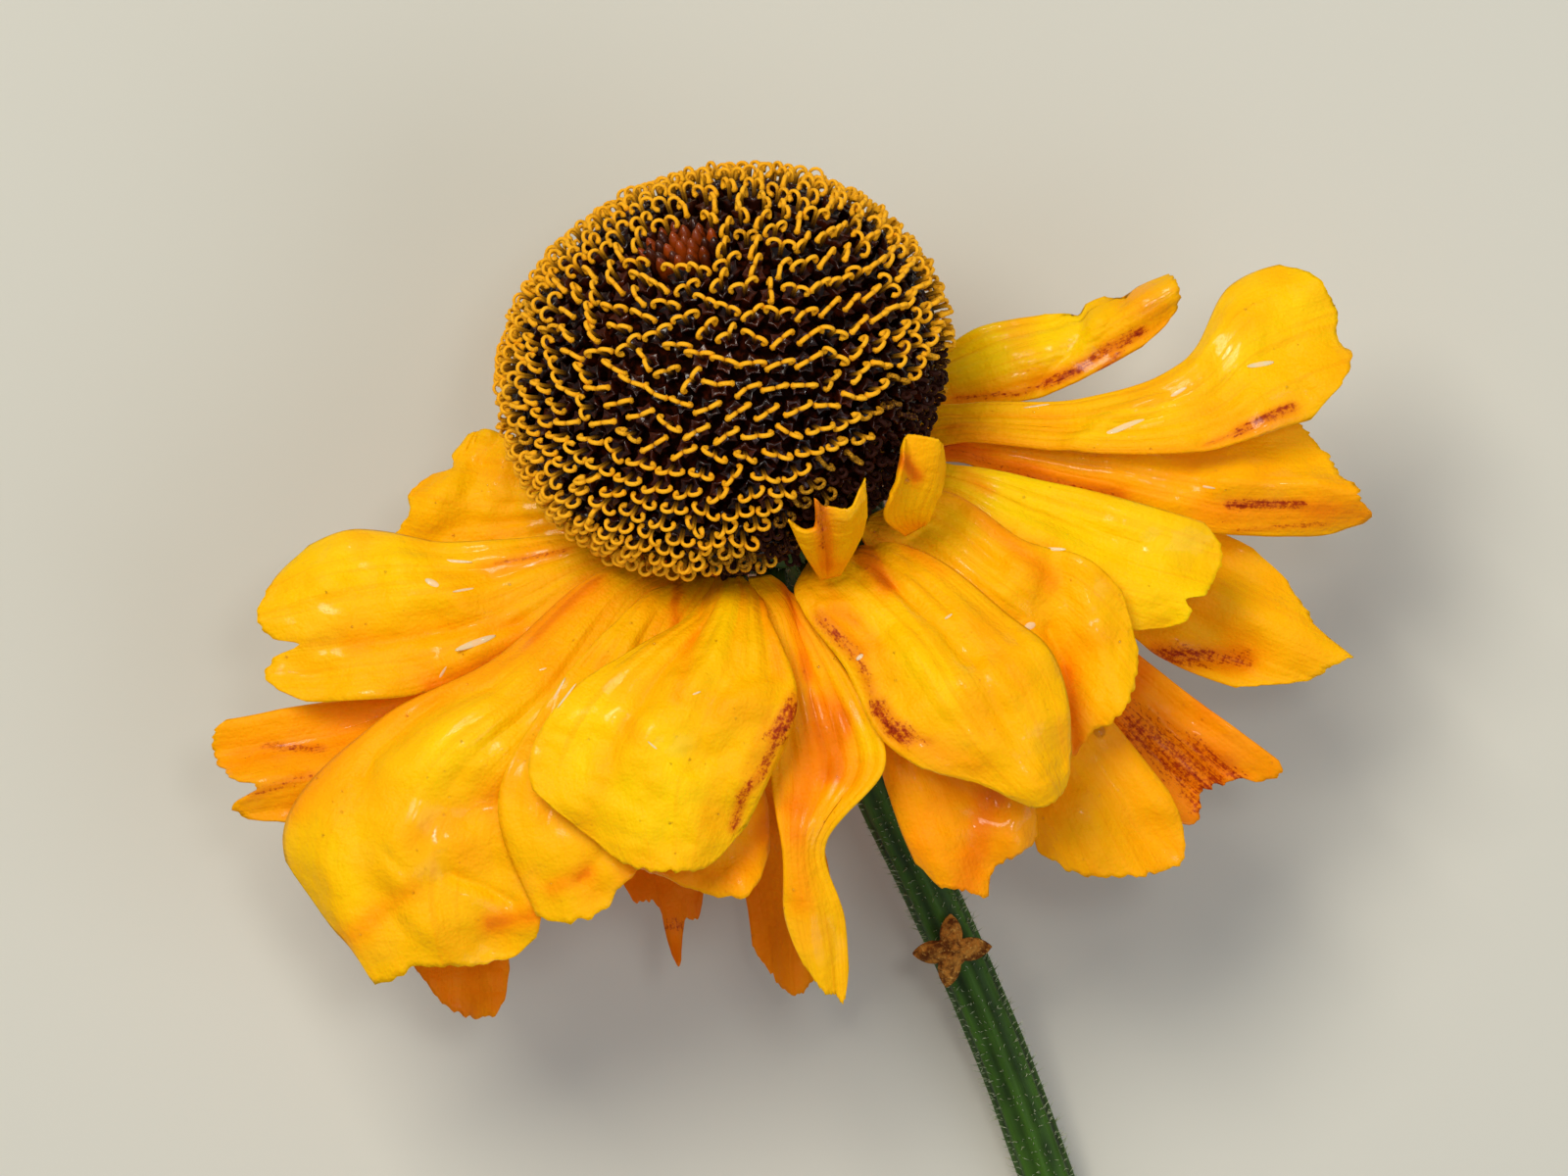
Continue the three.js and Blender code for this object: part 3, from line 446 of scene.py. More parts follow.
@dataclass(frozen=True)
class StyleFinish:
    """Pollen-dusted style branches: matt golden orange with a velvety grain, brown where withered, and
    brown painted shade low on each post.
    """

    name: str = "style_pollen_dusted"
    gold: str = "#FFB600"
    pale: str = "#FFCC3C"
    shade: str = "#FF9C00"
    # also the brown of the painted shade low on each post
    withered: str = "#2E0E04"
    grain: float = 0.07          # mm, the papillae and pollen

    def make(self) -> bpy.types.Material:
        """Returns the material."""
        material, tree = new_material(self.name)
        wither = add_node(tree, "Attribute", attribute_name="wither").outputs["Fac"]
        depth = add_node(tree, "Attribute", attribute_name="depth").outputs["Fac"]
        place = add_node(tree, "TexCoord").outputs["Object"]
        grain = add_node(tree, "TexNoise", {"Vector": place, "Scale": 1 / (self.grain * MM),
                                            "Detail": 2.0})
        cloud = add_node(tree, "TexNoise", {"Vector": place, "Scale": 1 / (1.6 * MM)})
        tone = mixed(tree, cloud.outputs["Fac"], linear(self.shade), linear(self.pale))
        gold = mixed(tree, 0.6, tone, linear(self.gold))
        # painted shade: the brown darkens the low part of each post, down among the florets
        low = mixed(tree, depth, gold, linear(self.withered))
        patchy = add_node(tree, "Math", {0: grain.outputs["Fac"], 1: 0.5, 2: wither},
                          operation="MULTIPLY_ADD")
        share = add_node(tree, "MapRange", {"Value": patchy.outputs[0], "From Min": 0.55,
                                            "From Max": 0.95})
        colour = mixed(tree, share.outputs[0], low, linear(self.withered))
        bump = add_node(tree, "Bump", {"Height": grain.outputs["Fac"], "Distance": 0.05 * MM,
                                       "Strength": 0.9})
        shader = add_node(tree, "BsdfPrincipled", {
            "Base Color": colour, "Roughness": 0.62,
            "Specular IOR Level": 0.15, "Normal": bump.outputs[0]})
        add_node(tree, "OutputMaterial", {"Surface": shader.outputs[0]})
        return material


@dataclass(frozen=True)
class FloretFinish:
    """Disc florets: near-black brown, fleshy and glossy, with a sparkle of wet lobes."""

    name: str = "floret_fleshy_dark"
    dark: str = "#140704"
    brown: str = "#4A1A08"
    red: str = "#B04604"
    wax: float = 0.3             # mm, how often the tone changes
    roughness: float = 0.3
    gloss: float = 0.4           # how much of the wet film there is

    def make(self) -> bpy.types.Material:
        """Returns the material."""
        material, tree = new_material(self.name)
        red = add_node(tree, "Attribute", attribute_name="red").outputs["Fac"]
        place = add_node(tree, "TexCoord").outputs["Object"]
        tone = add_node(tree, "TexNoise", {"Vector": place, "Scale": 1 / (self.wax * MM),
                                           "Detail": 3.0})
        share = add_node(tree, "MapRange", {"Value": tone.outputs["Fac"], "From Min": 0.5,
                                            "From Max": 0.8})
        body = mixed(tree, share.outputs[0], linear(self.dark), linear(self.brown))
        colour = mixed(tree, red, body, linear(self.red))
        bump = add_node(tree, "Bump", {"Height": tone.outputs["Fac"], "Distance": 0.06 * MM,
                                       "Strength": 0.8})
        shader = add_node(tree, "BsdfPrincipled", {
            "Base Color": colour, "Roughness": self.roughness,
            "Specular IOR Level": self.gloss / 2, "Coat Weight": self.gloss,
            "Coat Roughness": 0.08, "Normal": bump.outputs[0]})
        add_node(tree, "OutputMaterial", {"Surface": shader.outputs[0]})
        return material


@dataclass(frozen=True)
class StemFinish:
    """Living stalk: dark green with paler ribs, a satin skin and fine lengthwise furrows."""

    name: str = "stalk_green"
    dark: str = "#101C06"
    green: str = "#2C4A10"
    rib: str = "#46701C"
    furrow: float = 0.22         # mm between furrows

    def make(self) -> bpy.types.Material:
        """Returns the material."""
        material, tree = new_material(self.name)
        blade = add_node(tree, "Attribute", attribute_name="blade").outputs["Vector"]
        ridge = add_node(tree, "Attribute", attribute_name="ridge").outputs["Fac"]
        stretched = add_node(tree, "VectorMath", {0: blade, 1: (1 / self.furrow, 0.25, 1.0)},
                             operation="MULTIPLY")
        lines = add_node(tree, "TexNoise", {"Vector": stretched.outputs[0], "Scale": 1.0,
                                            "Detail": 4.0})
        place = add_node(tree, "TexCoord").outputs["Object"]
        cloud = add_node(tree, "TexNoise", {"Vector": place, "Scale": 1 / (2.2 * MM),
                                            "Detail": 3.0})
        share = add_node(tree, "MapRange", {"Value": cloud.outputs["Fac"], "From Min": 0.3,
                                            "From Max": 0.7})
        body = mixed(tree, share.outputs[0], linear(self.dark), linear(self.green))
        rib_share = add_node(tree, "Math", {0: ridge, 1: lines.outputs["Fac"]},
                             operation="MULTIPLY", use_clamp=True)
        colour = mixed(tree, rib_share.outputs[0], body, linear(self.rib))
        bump = add_node(tree, "Bump", {"Height": lines.outputs["Fac"], "Distance": 0.08 * MM,
                                       "Strength": 0.8})
        shader = add_node(tree, "BsdfPrincipled", {
            "Base Color": colour, "Roughness": 0.5,
            "Specular IOR Level": 0.2, "Normal": bump.outputs[0]})
        add_node(tree, "OutputMaterial", {"Surface": shader.outputs[0]})
        return material


@dataclass(frozen=True)
class WitheredFinish:
    """Dry plant tissue: matt tan and brown mottling over a crinkled skin."""

    name: str = "tissue_withered"
    tan: str = "#B4782E"
    brown: str = "#5A2E0C"
    pale: str = "#D2A050"
    mottle: float = 0.5          # mm

    def make(self) -> bpy.types.Material:
        """Returns the material."""
        material, tree = new_material(self.name)
        place = add_node(tree, "TexCoord").outputs["Object"]
        mottle = add_node(tree, "TexNoise", {"Vector": place, "Scale": 1 / (self.mottle * MM),
                                             "Detail": 5.0, "Roughness": 0.65})
        share = add_node(tree, "MapRange", {"Value": mottle.outputs["Fac"], "From Min": 0.38,
                                            "From Max": 0.62}, interpolation_type="SMOOTHSTEP")
        body = mixed(tree, share.outputs[0], linear(self.brown), linear(self.tan))
        fine = add_node(tree, "TexNoise", {"Vector": place, "Scale": 1 / (0.15 * MM),
                                           "Detail": 3.0})
        spots = add_node(tree, "MapRange", {"Value": fine.outputs["Fac"], "From Min": 0.58,
                                            "From Max": 0.75})
        colour = mixed(tree, spots.outputs[0], body, linear(self.pale))
        bump = add_node(tree, "Bump", {"Height": fine.outputs["Fac"], "Distance": 0.12 * MM,
                                       "Strength": 1.0})
        shader = add_node(tree, "BsdfPrincipled", {
            "Base Color": colour, "Roughness": 0.85,
            "Specular IOR Level": 0.12, "Normal": bump.outputs[0]})
        add_node(tree, "OutputMaterial", {"Surface": shader.outputs[0]})
        return material


@dataclass(frozen=True)
class HairFinish:
    """Plant hairs: thin pale threads that catch the light, tinted by what they grow on."""

    name: str
    root: str
    tip: str

    def make(self) -> bpy.types.Material:
        """Returns the material."""
        material, tree = new_material(self.name)
        reach = add_node(tree, "Attribute", attribute_name="reach").outputs["Fac"]
        colour = mixed(tree, reach, linear(self.root), linear(self.tip))
        shader = add_node(tree, "BsdfPrincipled", {"Base Color": colour,
                                                   "Roughness": 0.5})
        add_node(tree, "OutputMaterial", {"Surface": shader.outputs[0]})
        return material


@dataclass(frozen=True)
class WaterFinish:
    """Water: a clear drop shows as a bright glint and a darker rim; pale, part covering and with no light
    going through, it makes a painted highlight.
    """

    name: str = "water_clear"
    tint: str = "#FFFFFF"
    cover: float = 1.0           # how much of what lies under it is hidden
    clear: float = 1.0           # how much light goes through

    def make(self) -> bpy.types.Material:
        """Returns the material."""
        material, tree = new_material(self.name)
        shader = add_node(tree, "BsdfPrincipled", {
            "Base Color": linear(self.tint), "Roughness": 0.02, "IOR": 1.33,
            "Transmission Weight": self.clear, "Alpha": self.cover})
        add_node(tree, "OutputMaterial", {"Surface": shader.outputs[0]})
        return material


def as_seen(points: np.ndarray) -> tuple[np.ndarray, np.ndarray]:
    """Returns where the eye sees the points, as places in the plane through the disc's middle."""
    nearer = EYE_HEIGHT / (EYE_HEIGHT - points[..., 2])
    return (EYE_ACROSS + (points[..., 0] - EYE_ACROSS) * nearer,
            EYE_ALONG + (points[..., 1] - EYE_ALONG) * nearer)


@dataclass(frozen=True)
class Stroke:
    """A mark along a line on a ray, given by its places as seen from above.

    The places are in mm from the middle of the disc, width is half the mark's width in mm and
    depth its strength.
    """

    path: tuple[tuple[float, float], ...]
    width: float
    depth: float = 1.0

    def on(self, x: np.ndarray, y: np.ndarray) -> np.ndarray:
        """Returns the mark's strength at places x, y."""
        nearest = np.full(x.shape, np.inf)
        for (x0, y0), (x1, y1) in zip(self.path[:-1], self.path[1:]):
            dx, dy = x1 - x0, y1 - y0
            share = np.clip(((x - x0) * dx + (y - y0) * dy) / (dx * dx + dy * dy), 0, 1)
            nearest = np.minimum(nearest, np.hypot(x - x0 - share * dx, y - y0 - share * dy))
        return self.depth * np.exp(-((nearest / self.width) ** 2))


@dataclass(frozen=True)
class RayForm:
    """One ray floret, in the same terms as its solid.

    Each row after the claw gives the left edge, the right edge and the crown between them, seen
    from above with the tip pointing down. rim gives places across the blade from -1 to 1, each
    with the share of the length that the margin reaches there. wave is the height, count and
    start of the ruffles, folds the places of the lengthwise furrows, and hem turns the left
    margin down. One number gives how much orange painted shade the whole blade has, and the
    strokes are its stains, the painted orange shade of each hollow, the painted light on its
    brightest places and its creases, whose depth is their rise in mm.
    Each bite draws a long margin in: its side, its share of the length, half its extent as such
    a share, and how much of the blade's half it takes.
    """

    name: str
    slot: int | None
    rows: tuple[tuple[float, ...], ...]
    rim: tuple[tuple[float, float], ...]
    wave: tuple[float, float, float]
    folds: tuple[float, ...]
    hem: float = 0.0
    under: bool = False
    painted_shade: float = 0.0
    stains: tuple[Stroke, ...] = ()
    painted_shade_strokes: tuple[Stroke, ...] = ()
    painted_light_strokes: tuple[Stroke, ...] = ()
    creases: tuple[Stroke, ...] = ()
    bites: tuple[tuple[float, float, float, float], ...] = ()
    finish: Slot = Slot.RAY

    def claw(self) -> tuple[float, ...]:
        """Returns the row where the ray leaves the receptacle."""
        turn = FIRST_SLOT_TURN + RAY_PITCH * self.slot
        radius, level = (UNDER_RADIUS, UNDER_LEVEL) if self.under else (RING_RADIUS, RING_LEVEL)
        middle = on_ring(turn, radius, level)
        first = np.array(self.rows[0])
        across = unit(first[3:6] - first[0:3])
        tangent = ring_tangent(turn)
        half = unit(across + math.copysign(1.0, tangent.dot(across)) * tangent) * CLAW_WIDTH / 2
        return (*(middle - half), *(middle + half), 0.0)

    def all_rows(self) -> np.ndarray:
        """Returns every row, the claw's first if the ray has one."""
        rows = self.rows if self.slot is None else (self.claw(), *self.rows)
        return np.array(rows, float)

    def margin(self, v: np.ndarray) -> np.ndarray:
        """Gives how far the margin reaches, on a curve that doesn't swing past the rim's points.

        Args:
            v: Places across the blade.

        Returns:
            The shares of the length.
        """
        places, reach = np.array(self.rim).T
        width = np.diff(places)
        slope = np.diff(reach) / width
        before, after = slope[:-1], slope[1:]
        turns = before * after <= 0
        inner = np.where(turns, 0.0, 2 * before * after / np.where(turns, 1.0, before + after))
        lean = np.concatenate([slope[:1], inner, slope[-1:]])
        i = np.clip(np.searchsorted(places, v, side="right") - 1, 0, len(width) - 1)
        f = (v - places[i]) / width[i]
        return ((2 * f**3 - 3 * f**2 + 1) * reach[i] + (f**3 - 2 * f**2 + f) * width[i] * lean[i]
                + (3 * f**2 - 2 * f**3) * reach[i + 1] + (f**3 - f**2) * width[i] * lean[i + 1])


# The rays, from the left round the front to the right, then those under the head
# In each ray, the number for orange shade and the strokes of each hollow are painted shade, and the
# strokes of its brightest places are painted light.
RAYS: tuple[RayForm, ...] = (
    RayForm("ray_left_rear", -7, (
        (-6.8, -4.0, -6.8, -6.5, -7.0, -6.0, 0.3), (-9.8, -2.4, -7.2, -10.7, -8.0, -6.4, 0.5),
        (-11.1, -2.6, -7.5, -15.4, -7.0, -6.8, 0.4)),
        ((-1, 0.93), (-0.7, 0.95), (-0.36, 0.86), (-0.24, 0.95), (0.1, 0.98), (0.44, 0.92),
         (0.75, 0.93), (1, 0.9)),
        (0.35, 1.4, 0.2), (-0.36, 0.44), under=True,
        painted_shade_strokes=(Stroke(((-9.8, -8.0), (-6.5, -8.4)), 0.5, 0.8),)),
    RayForm("ray_left", -6, (
        (-6.7, -6.8, -3.9, -5.5, -8.9, -3.0, 0.1), (-11.5, -7.1, -3.8, -9.2, -11.8, -2.8, 0.5),
        (-15.8, -6.6, -4.2, -13.4, -13.6, -3.0, 0.7), (-19.8, -8.4, -4.6, -19.2, -13.8, -3.4, 0.4)),
        ((-1, 0.86), (-0.75, 0.955), (-0.3, 1), (0.08, 0.975), (0.22, 0.92), (0.34, 0.98),
         (0.55, 1), (0.8, 0.985), (1, 0.93)),
        (0.3, 1.2, 0.5), (0.22, -0.4),
        stains=(Stroke(((-9.6, -8.0), (-6.6, -7.5)), 0.16, 0.6),
                Stroke(((-8.2, -11.2), (-5.8, -9.2)), 0.16, 0.5)),
        painted_shade_strokes=(Stroke(((-12.2, -13.2), (-7.5, -11.0), (-5.6, -9.0)), 0.55, 0.95),
                 Stroke(((-15.5, -11.5), (-8.5, -10.4)), 0.45, 0.4),
                 Stroke(((-9.8, -8.2), (-6.6, -7.4)), 0.5, 0.5)),
        painted_light_strokes=(Stroke(((-17.5, -8.6), (-13.0, -8.2)), 1.6, 0.5),),
        creases=(Stroke(((-16.6, -11.5), (-8.6, -10.5)), 0.45, -0.3),
                 Stroke(((-9.6, -8.6), (-6.8, -7.9)), 0.3, -0.15))),
    RayForm("ray_left_low", -5, (
        (-5.6, -9.4, -4.3, -4.4, -10.5, -3.6, 0.1), (-10.5, -11.0, -5.4, -8.5, -14.3, -3.8, 0.3),
        (-15.4, -13.6, -5.8, -13.5, -17.8, -3.8, 0.3), (-21.9, -14.8, -5.6, -20.7, -19.1, -4.4, 0.2)),
        ((-1, 0.97), (-0.6, 1), (0.1, 0.985), (0.38, 0.95), (0.56, 0.99), (0.8, 0.98), (1, 0.93)),
        (0.4, 1.6, 0.1), (-0.35, 0.38), under=True, painted_shade=0.45,
        stains=(Stroke(((-20.2, -16.0), (-16.2, -15.8)), 1.0, 0.42),
                Stroke(((-19.0, -15.6), (-16.8, -15.8)), 0.35, 0.75),
                Stroke(((-19.8, -17.6), (-17.2, -16.8)), 0.3, 0.6)),
        creases=(Stroke(((-20.4, -16.8), (-17.6, -16.6)), 0.5, -0.3),)),
    RayForm("ray_front_left", -4, (
        (-5.6, -8.5, -1.4, -3.1, -10.0, -0.9, 0.2), (-9.8, -12.0, -0.1, -5.2, -14.8, 0.5, 0.6),
        (-14.6, -14.6, 0.1, -8.0, -19.0, 0.7, 0.9), (-18.5, -19.4, 0.0, -7.6, -22.4, 0.4, 0.8),
        (-15.8, -26.0, -0.4, -8.4, -25.0, -0.1, 0.4)),
        ((-1, 0.84), (-0.85, 0.9), (-0.72, 0.94), (-0.64, 0.99), (-0.4, 0.985), (-0.15, 0.965),
         (0.4, 0.97), (0.85, 0.955), (1, 0.88)),
        (0.35, 1.5, 0.3), (-0.72, 0.1), hem=1.2,
        painted_shade_strokes=(Stroke(((-18.0, -18.2), (-15.0, -14.7), (-10.0, -12.2), (-5.5, -9.0)), 0.75, 0.75),
                 Stroke(((-15.8, -23.6), (-13.0, -21.5)), 0.45, 0.5),
                 Stroke(((-13.0, -19.4), (-8.6, -17.2)), 0.6, 0.3),
                 Stroke(((-9.8, -22.9), (-6.9, -22.5)), 0.5, 0.9)),
        painted_light_strokes=(Stroke(((-12.2, -16.0), (-9.0, -14.7)), 1.6, 0.6),
               Stroke(((-16.7, -19.2), (-15.5, -21.2)), 1.5, 0.4)),
        creases=(Stroke(((-9.6, -13.3), (-12.0, -13.9), (-14.5, -16.0), (-15.0, -17.0)), 0.4, -0.45),
                 Stroke(((-9.8, -16.0), (-12.2, -16.6)), 2.0, 0.35),
                 Stroke(((-14.0, -20.0), (-13.2, -20.8)), 0.18, -0.22),
                 Stroke(((-12.5, -21.1), (-14.4, -23.1)), 0.16, -0.12),
                 Stroke(((-12.0, -21.2), (-13.4, -23.1)), 0.16, -0.12),
                 Stroke(((-13.0, -19.6), (-8.6, -17.3)), 0.8, -0.3),
                 Stroke(((-11.4, -20.9), (-8.7, -22.1)), 0.25, -0.3))),
    RayForm("ray_front_mid", -3, (
        (-4.5, -10.4, 0.9, -0.6, -10.8, 0.6, 0.1), (-7.6, -14.0, 1.8, 0.4, -14.6, 1.3, 0.4),
        (-9.4, -18.2, 2.1, 1.7, -17.8, 1.0, 0.6), (-7.4, -23.6, 1.6, 1.8, -22.2, 0.7, 0.4)),
        ((-1, 0.96), (-0.75, 0.975), (-0.45, 0.96), (-0.24, 0.92), (-0.05, 0.89), (0.3, 0.935),
         (0.7, 0.97), (0.88, 0.95), (1, 0.88)),
        (0.35, 1.5, 0.6), (-0.15, 0.3),
        painted_shade_strokes=(Stroke(((-3.5, -20.9), (0.4, -21.0), (1.8, -18.5)), 1.0, 0.8),
                 Stroke(((-7.2, -21.5), (-5.8, -20.8)), 0.4, 0.8),
                 Stroke(((-2.0, -9.0), (-2.2, -11.0)), 0.25, 0.8),
                 Stroke(((-3.1, -8.6), (-4.1, -9.6)), 0.3, 0.4)),
        creases=(Stroke(((-6.1, -21.2), (-5.2, -20.0)), 0.3, -0.2),
                 Stroke(((-2.9, -9.0), (-4.5, -12.2)), 0.3, 0.15))),
    RayForm("ray_front", -2, (
        (-1.6, -10.3, 2.0, 1.8, -10.2, 2.4, 0.4), (-6.2, -13.2, 3.2, 3.0, -13.6, 3.9, 0.9),
        (-8.1, -16.7, 3.6, 1.8, -17.0, 3.9, 0.8), (-5.4, -20.6, 3.7, -0.3, -21.1, 3.5, 0.4)),
        ((-1, 0.8), (-0.75, 0.91), (-0.5, 0.975), (-0.1, 0.99), (0.35, 0.985), (0.7, 0.975),
         (0.88, 0.94), (1, 0.87)),
        (0.3, 1.3, 0.1), (-0.3, 0.35),
        stains=(Stroke(((3.0, -13.8), (2.5, -14.6), (2.1, -15.2)), 0.6, 0.95),
                Stroke(((2.1, -15.2), (1.5, -16.7), (0.7, -17.6), (0.3, -19.0)), 0.35, 0.85),
                Stroke(((2.0, -14.8), (1.2, -16.8)), 0.8, 0.5)),
        painted_shade_strokes=(Stroke(((1.5, -8.9), (1.9, -10.7), (2.3, -12.7)), 0.3, 0.6),
                 Stroke(((-0.5, -9.0), (-1.4, -11.5), (-2.0, -13.6)), 0.35, 0.45),
                 Stroke(((-4.1, -14.7), (-3.6, -15.2)), 0.5, 0.4)),
        painted_light_strokes=(Stroke(((-5.5, -15.5), (-2.4, -17.6)), 2.4, 0.8),
               Stroke(((0.3, -9.0), (-0.2, -13.0)), 0.6, 0.3)),
        creases=(Stroke(((0.2, -8.0), (-0.1, -12.3)), 0.5, 0.2),
                 Stroke(((1.3, -9.0), (1.8, -12.7)), 0.25, -0.2),
                 Stroke(((-0.6, -9.0), (-1.6, -12.7)), 0.3, -0.15),
                 Stroke(((-1.6, -15.6), (0.8, -13.9)), 0.7, 0.15))),
    RayForm("ray_front_twisted", -1, (
        (1.8, -10.4, 1.3, 3.5, -10.3, 1.0, 0.1), (1.7, -13.8, 2.0, 5.8, -13.8, 2.4, -0.3),
        (1.9, -17.0, 2.4, 6.6, -16.5, 3.1, -0.6), (2.4, -20.0, 2.6, 4.2, -19.6, 2.2, 0.0),
        (2.5, -22.6, 2.0, 5.0, -22.9, 1.4, 0.2), (3.4, -26.0, 1.2, 5.2, -26.4, 1.0, 0.1)),
        ((-1, 0.86), (-0.85, 0.92), (-0.5, 0.955), (0, 0.985), (0.36, 0.98), (0.6, 1),
         (0.8, 0.985), (1, 0.93)),
        (0.1, 1.5, 0.4), (-0.1, 0.5),
        painted_shade_strokes=(Stroke(((4.0, -14.0), (3.6, -15.6), (3.1, -18.0)), 1.1, 1.0),
                 Stroke(((5.0, -14.5), (4.6, -16.8)), 0.6, 0.7),
                 Stroke(((2.4, -8.6), (3.0, -10.7), (3.5, -12.7)), 0.3, 0.7),
                 Stroke(((2.9, -19.5), (3.2, -22.0)), 0.6, 0.7)),
        painted_light_strokes=(Stroke(((4.5, -12.7), (6.2, -15.6)), 0.4, 0.6),),
        creases=(Stroke(((2.4, -8.2), (3.1, -11.0), (3.8, -13.0)), 0.22, -0.2),
                 Stroke(((4.3, -13.1), (4.5, -15.6)), 0.4, -0.2))),
    RayForm("ray_right_front", 1, (
        (3.1, -9.7, 2.0, 7.9, -7.4, 0.5, 0.3), (5.0, -12.4, 2.8, 11.4, -9.8, 1.9, 0.8),
        (6.6, -15.4, 3.6, 13.8, -12.2, 2.9, 1.0), (9.8, -17.4, 3.4, 14.4, -15.8, 2.6, 0.7),
        (12.2, -18.9, 3.2, 14.6, -17.6, 2.5, 0.4)),
        ((-1, 0.7), (-0.85, 0.75), (-0.65, 0.81), (-0.45, 0.91), (-0.3, 0.96), (0.05, 0.975),
         (0.5, 0.96), (0.78, 0.92), (1, 0.8)),
        (0.3, 1.4, 0.2), (-0.5, 0.2),
        stains=(Stroke(((4.0, -10.3), (4.7, -11.1), (5.5, -11.8)), 0.5, 0.75),
                Stroke(((4.6, -10.0), (5.4, -10.4)), 0.5, 0.5),
                Stroke(((5.5, -11.8), (6.0, -13.0), (6.3, -14.0)), 0.35, 0.65),
                Stroke(((6.4, -14.0), (6.9, -14.8), (7.6, -15.2)), 0.55, 0.95),
                Stroke(((7.6, -15.2), (8.5, -15.4)), 0.35, 0.6),
                # painted shadow: this stroke, in the stain colours, is the dark line of shadow beside the
                # folded ray's margin
                Stroke(((8.9, -6.5), (9.6, -7.4), (10.2, -7.9)), 0.2, 0.8)),
        painted_shade_strokes=(Stroke(((5.1, -6.8), (5.9, -7.6), (6.7, -9.0)), 0.45, 1.0),
                 Stroke(((6.7, -6.6), (9.0, -8.4)), 0.35, 0.5),
                 Stroke(((4.3, -10.2), (5.9, -11.5)), 0.7, 0.5),
                 Stroke(((7.0, -15.4), (10.5, -16.4)), 0.7, 0.45),
                 Stroke(((11.0, -10.7), (12.2, -13.0)), 0.9, 0.3),
                 Stroke(((8.8, -6.2), (10.2, -7.8)), 0.4, 0.7)),
        painted_light_strokes=(Stroke(((6.5, -10.7), (9.0, -13.0)), 1.2, 0.4),),
        creases=(Stroke(((4.1, -9.9), (5.2, -9.8), (6.0, -10.7)), 0.25, 0.18),
                 Stroke(((6.1, -7.4), (8.2, -10.7)), 0.3, -0.15),
                 Stroke(((7.5, -7.8), (10.6, -12.3)), 0.35, -0.15),
                 Stroke(((5.3, -7.4), (5.7, -9.0)), 0.2, -0.15))),
    RayForm("ray_under_stem", 2, (
        (4.8, -10.2, -0.3, 6.5, -10.0, -0.7, 0.1), (6.0, -14.0, -0.1, 10.0, -13.4, -0.6, 0.3),
        (6.9, -18.0, -0.2, 12.6, -17.2, -0.9, 0.4), (9.0, -22.8, -1.0, 13.2, -20.8, -1.4, 0.2)),
        ((-1, 0.88), (-0.78, 0.94), (-0.42, 0.965), (-0.1, 1), (0.04, 0.97), (0.2, 0.945),
         (0.5, 0.93), (0.8, 0.92), (1, 0.9)),
        (0.3, 1.4, 0.7), (0.04,), under=True, painted_shade=0.6,
        painted_shade_strokes=(Stroke(((6.4, -13.6), (10.0, -15.0)), 1.3, 0.7),
                 Stroke(((11.2, -17.0), (10.0, -21.5)), 0.7, 0.4)),
        finish=Slot.SHADED_RAY),
    RayForm("ray_right_folded", 3, (
        (7.2, -8.6, -0.3, 9.2, -5.0, -1.0, 0.1), (9.8, -11.0, 0.6, 12.4, -7.0, 0.2, 0.3),
        (12.6, -14.2, 0.6, 15.4, -8.0, 0.4, -0.5), (15.0, -17.2, 0.3, 18.2, -11.4, -0.1, 0.2)),
        ((-1, 0.92), (-0.8, 0.94), (-0.5, 0.945), (-0.2, 0.98), (0.1, 0.99), (0.6, 0.97),
         (0.8, 0.93), (1, 0.85)),
        (0.25, 1.3, 0.1), (-0.45, 0.35),
        painted_shade_strokes=(Stroke(((14.2, -12.6), (14.7, -15.8)), 0.6, 1.0),
                 Stroke(((9.0, -4.2), (11.0, -6.2), (13.5, -8.7)), 0.55, 0.8),
                 Stroke(((12.2, -10.7), (14.7, -11.5)), 0.8, 0.3)),
        creases=(Stroke(((13.4, -10.7), (14.4, -12.8), (14.4, -16.0)), 0.4, -0.35),
                 Stroke(((10.6, -7.4), (13.5, -10.7)), 0.4, -0.15))),
    RayForm("ray_right_low", 4, (
        (8.3, -9.2, -2.4, 9.5, -8.2, -2.6, 0.1), (10.6, -13.6, -2.4, 13.8, -11.8, -2.8, 0.3),
        (12.4, -17.8, -2.4, 17.0, -15.6, -3.0, 0.4), (13.8, -22.2, -2.8, 20.6, -20.2, -3.4, 0.4)),
        ((-1, 0.88), (-0.6, 0.955), (-0.15, 0.985), (0.25, 1), (0.5, 1), (0.72, 0.97),
         (0.86, 0.93), (1, 0.86)),
        (0.25, 1.5, 0.5), (-0.3, 0.2), under=True, painted_shade=0.35),
    RayForm("ray_right_bright", 5, (
        (9.0, -5.5, -2.0, 9.6, -3.9, -2.3, 0.2), (11.8, -8.0, -1.4, 13.2, -4.5, -1.9, 0.5),
        (15.2, -10.2, -1.3, 17.6, -5.6, -2.0, 0.6), (19.0, -11.2, -1.5, 21.5, -6.8, -2.3, 0.3)),
        ((-1, 0.88), (-0.85, 0.94), (-0.68, 0.985), (-0.5, 0.985), (-0.34, 0.955), (-0.16, 1),
         (0.3, 1), (0.7, 0.975), (1, 0.9)),
        (0.25, 1.4, 0.6), (-0.34, 0.3),
        painted_shade_strokes=(Stroke(((9.0, -3.4), (11.0, -5.0)), 0.3, 0.4),),
        painted_light_strokes=(Stroke(((10.6, -4.5), (14.7, -6.2), (18.8, -9.0)), 2.2, 1.0),),
        creases=(Stroke(((12.6, -5.8), (18.0, -8.6)), 0.5, -0.12),)),
    RayForm("ray_right_stained", 6, (
        (9.1, -7.2, -4.4, 9.9, -6.1, -4.6, 0.1), (12.6, -11.6, -4.6, 14.6, -9.6, -5.0, 0.2),
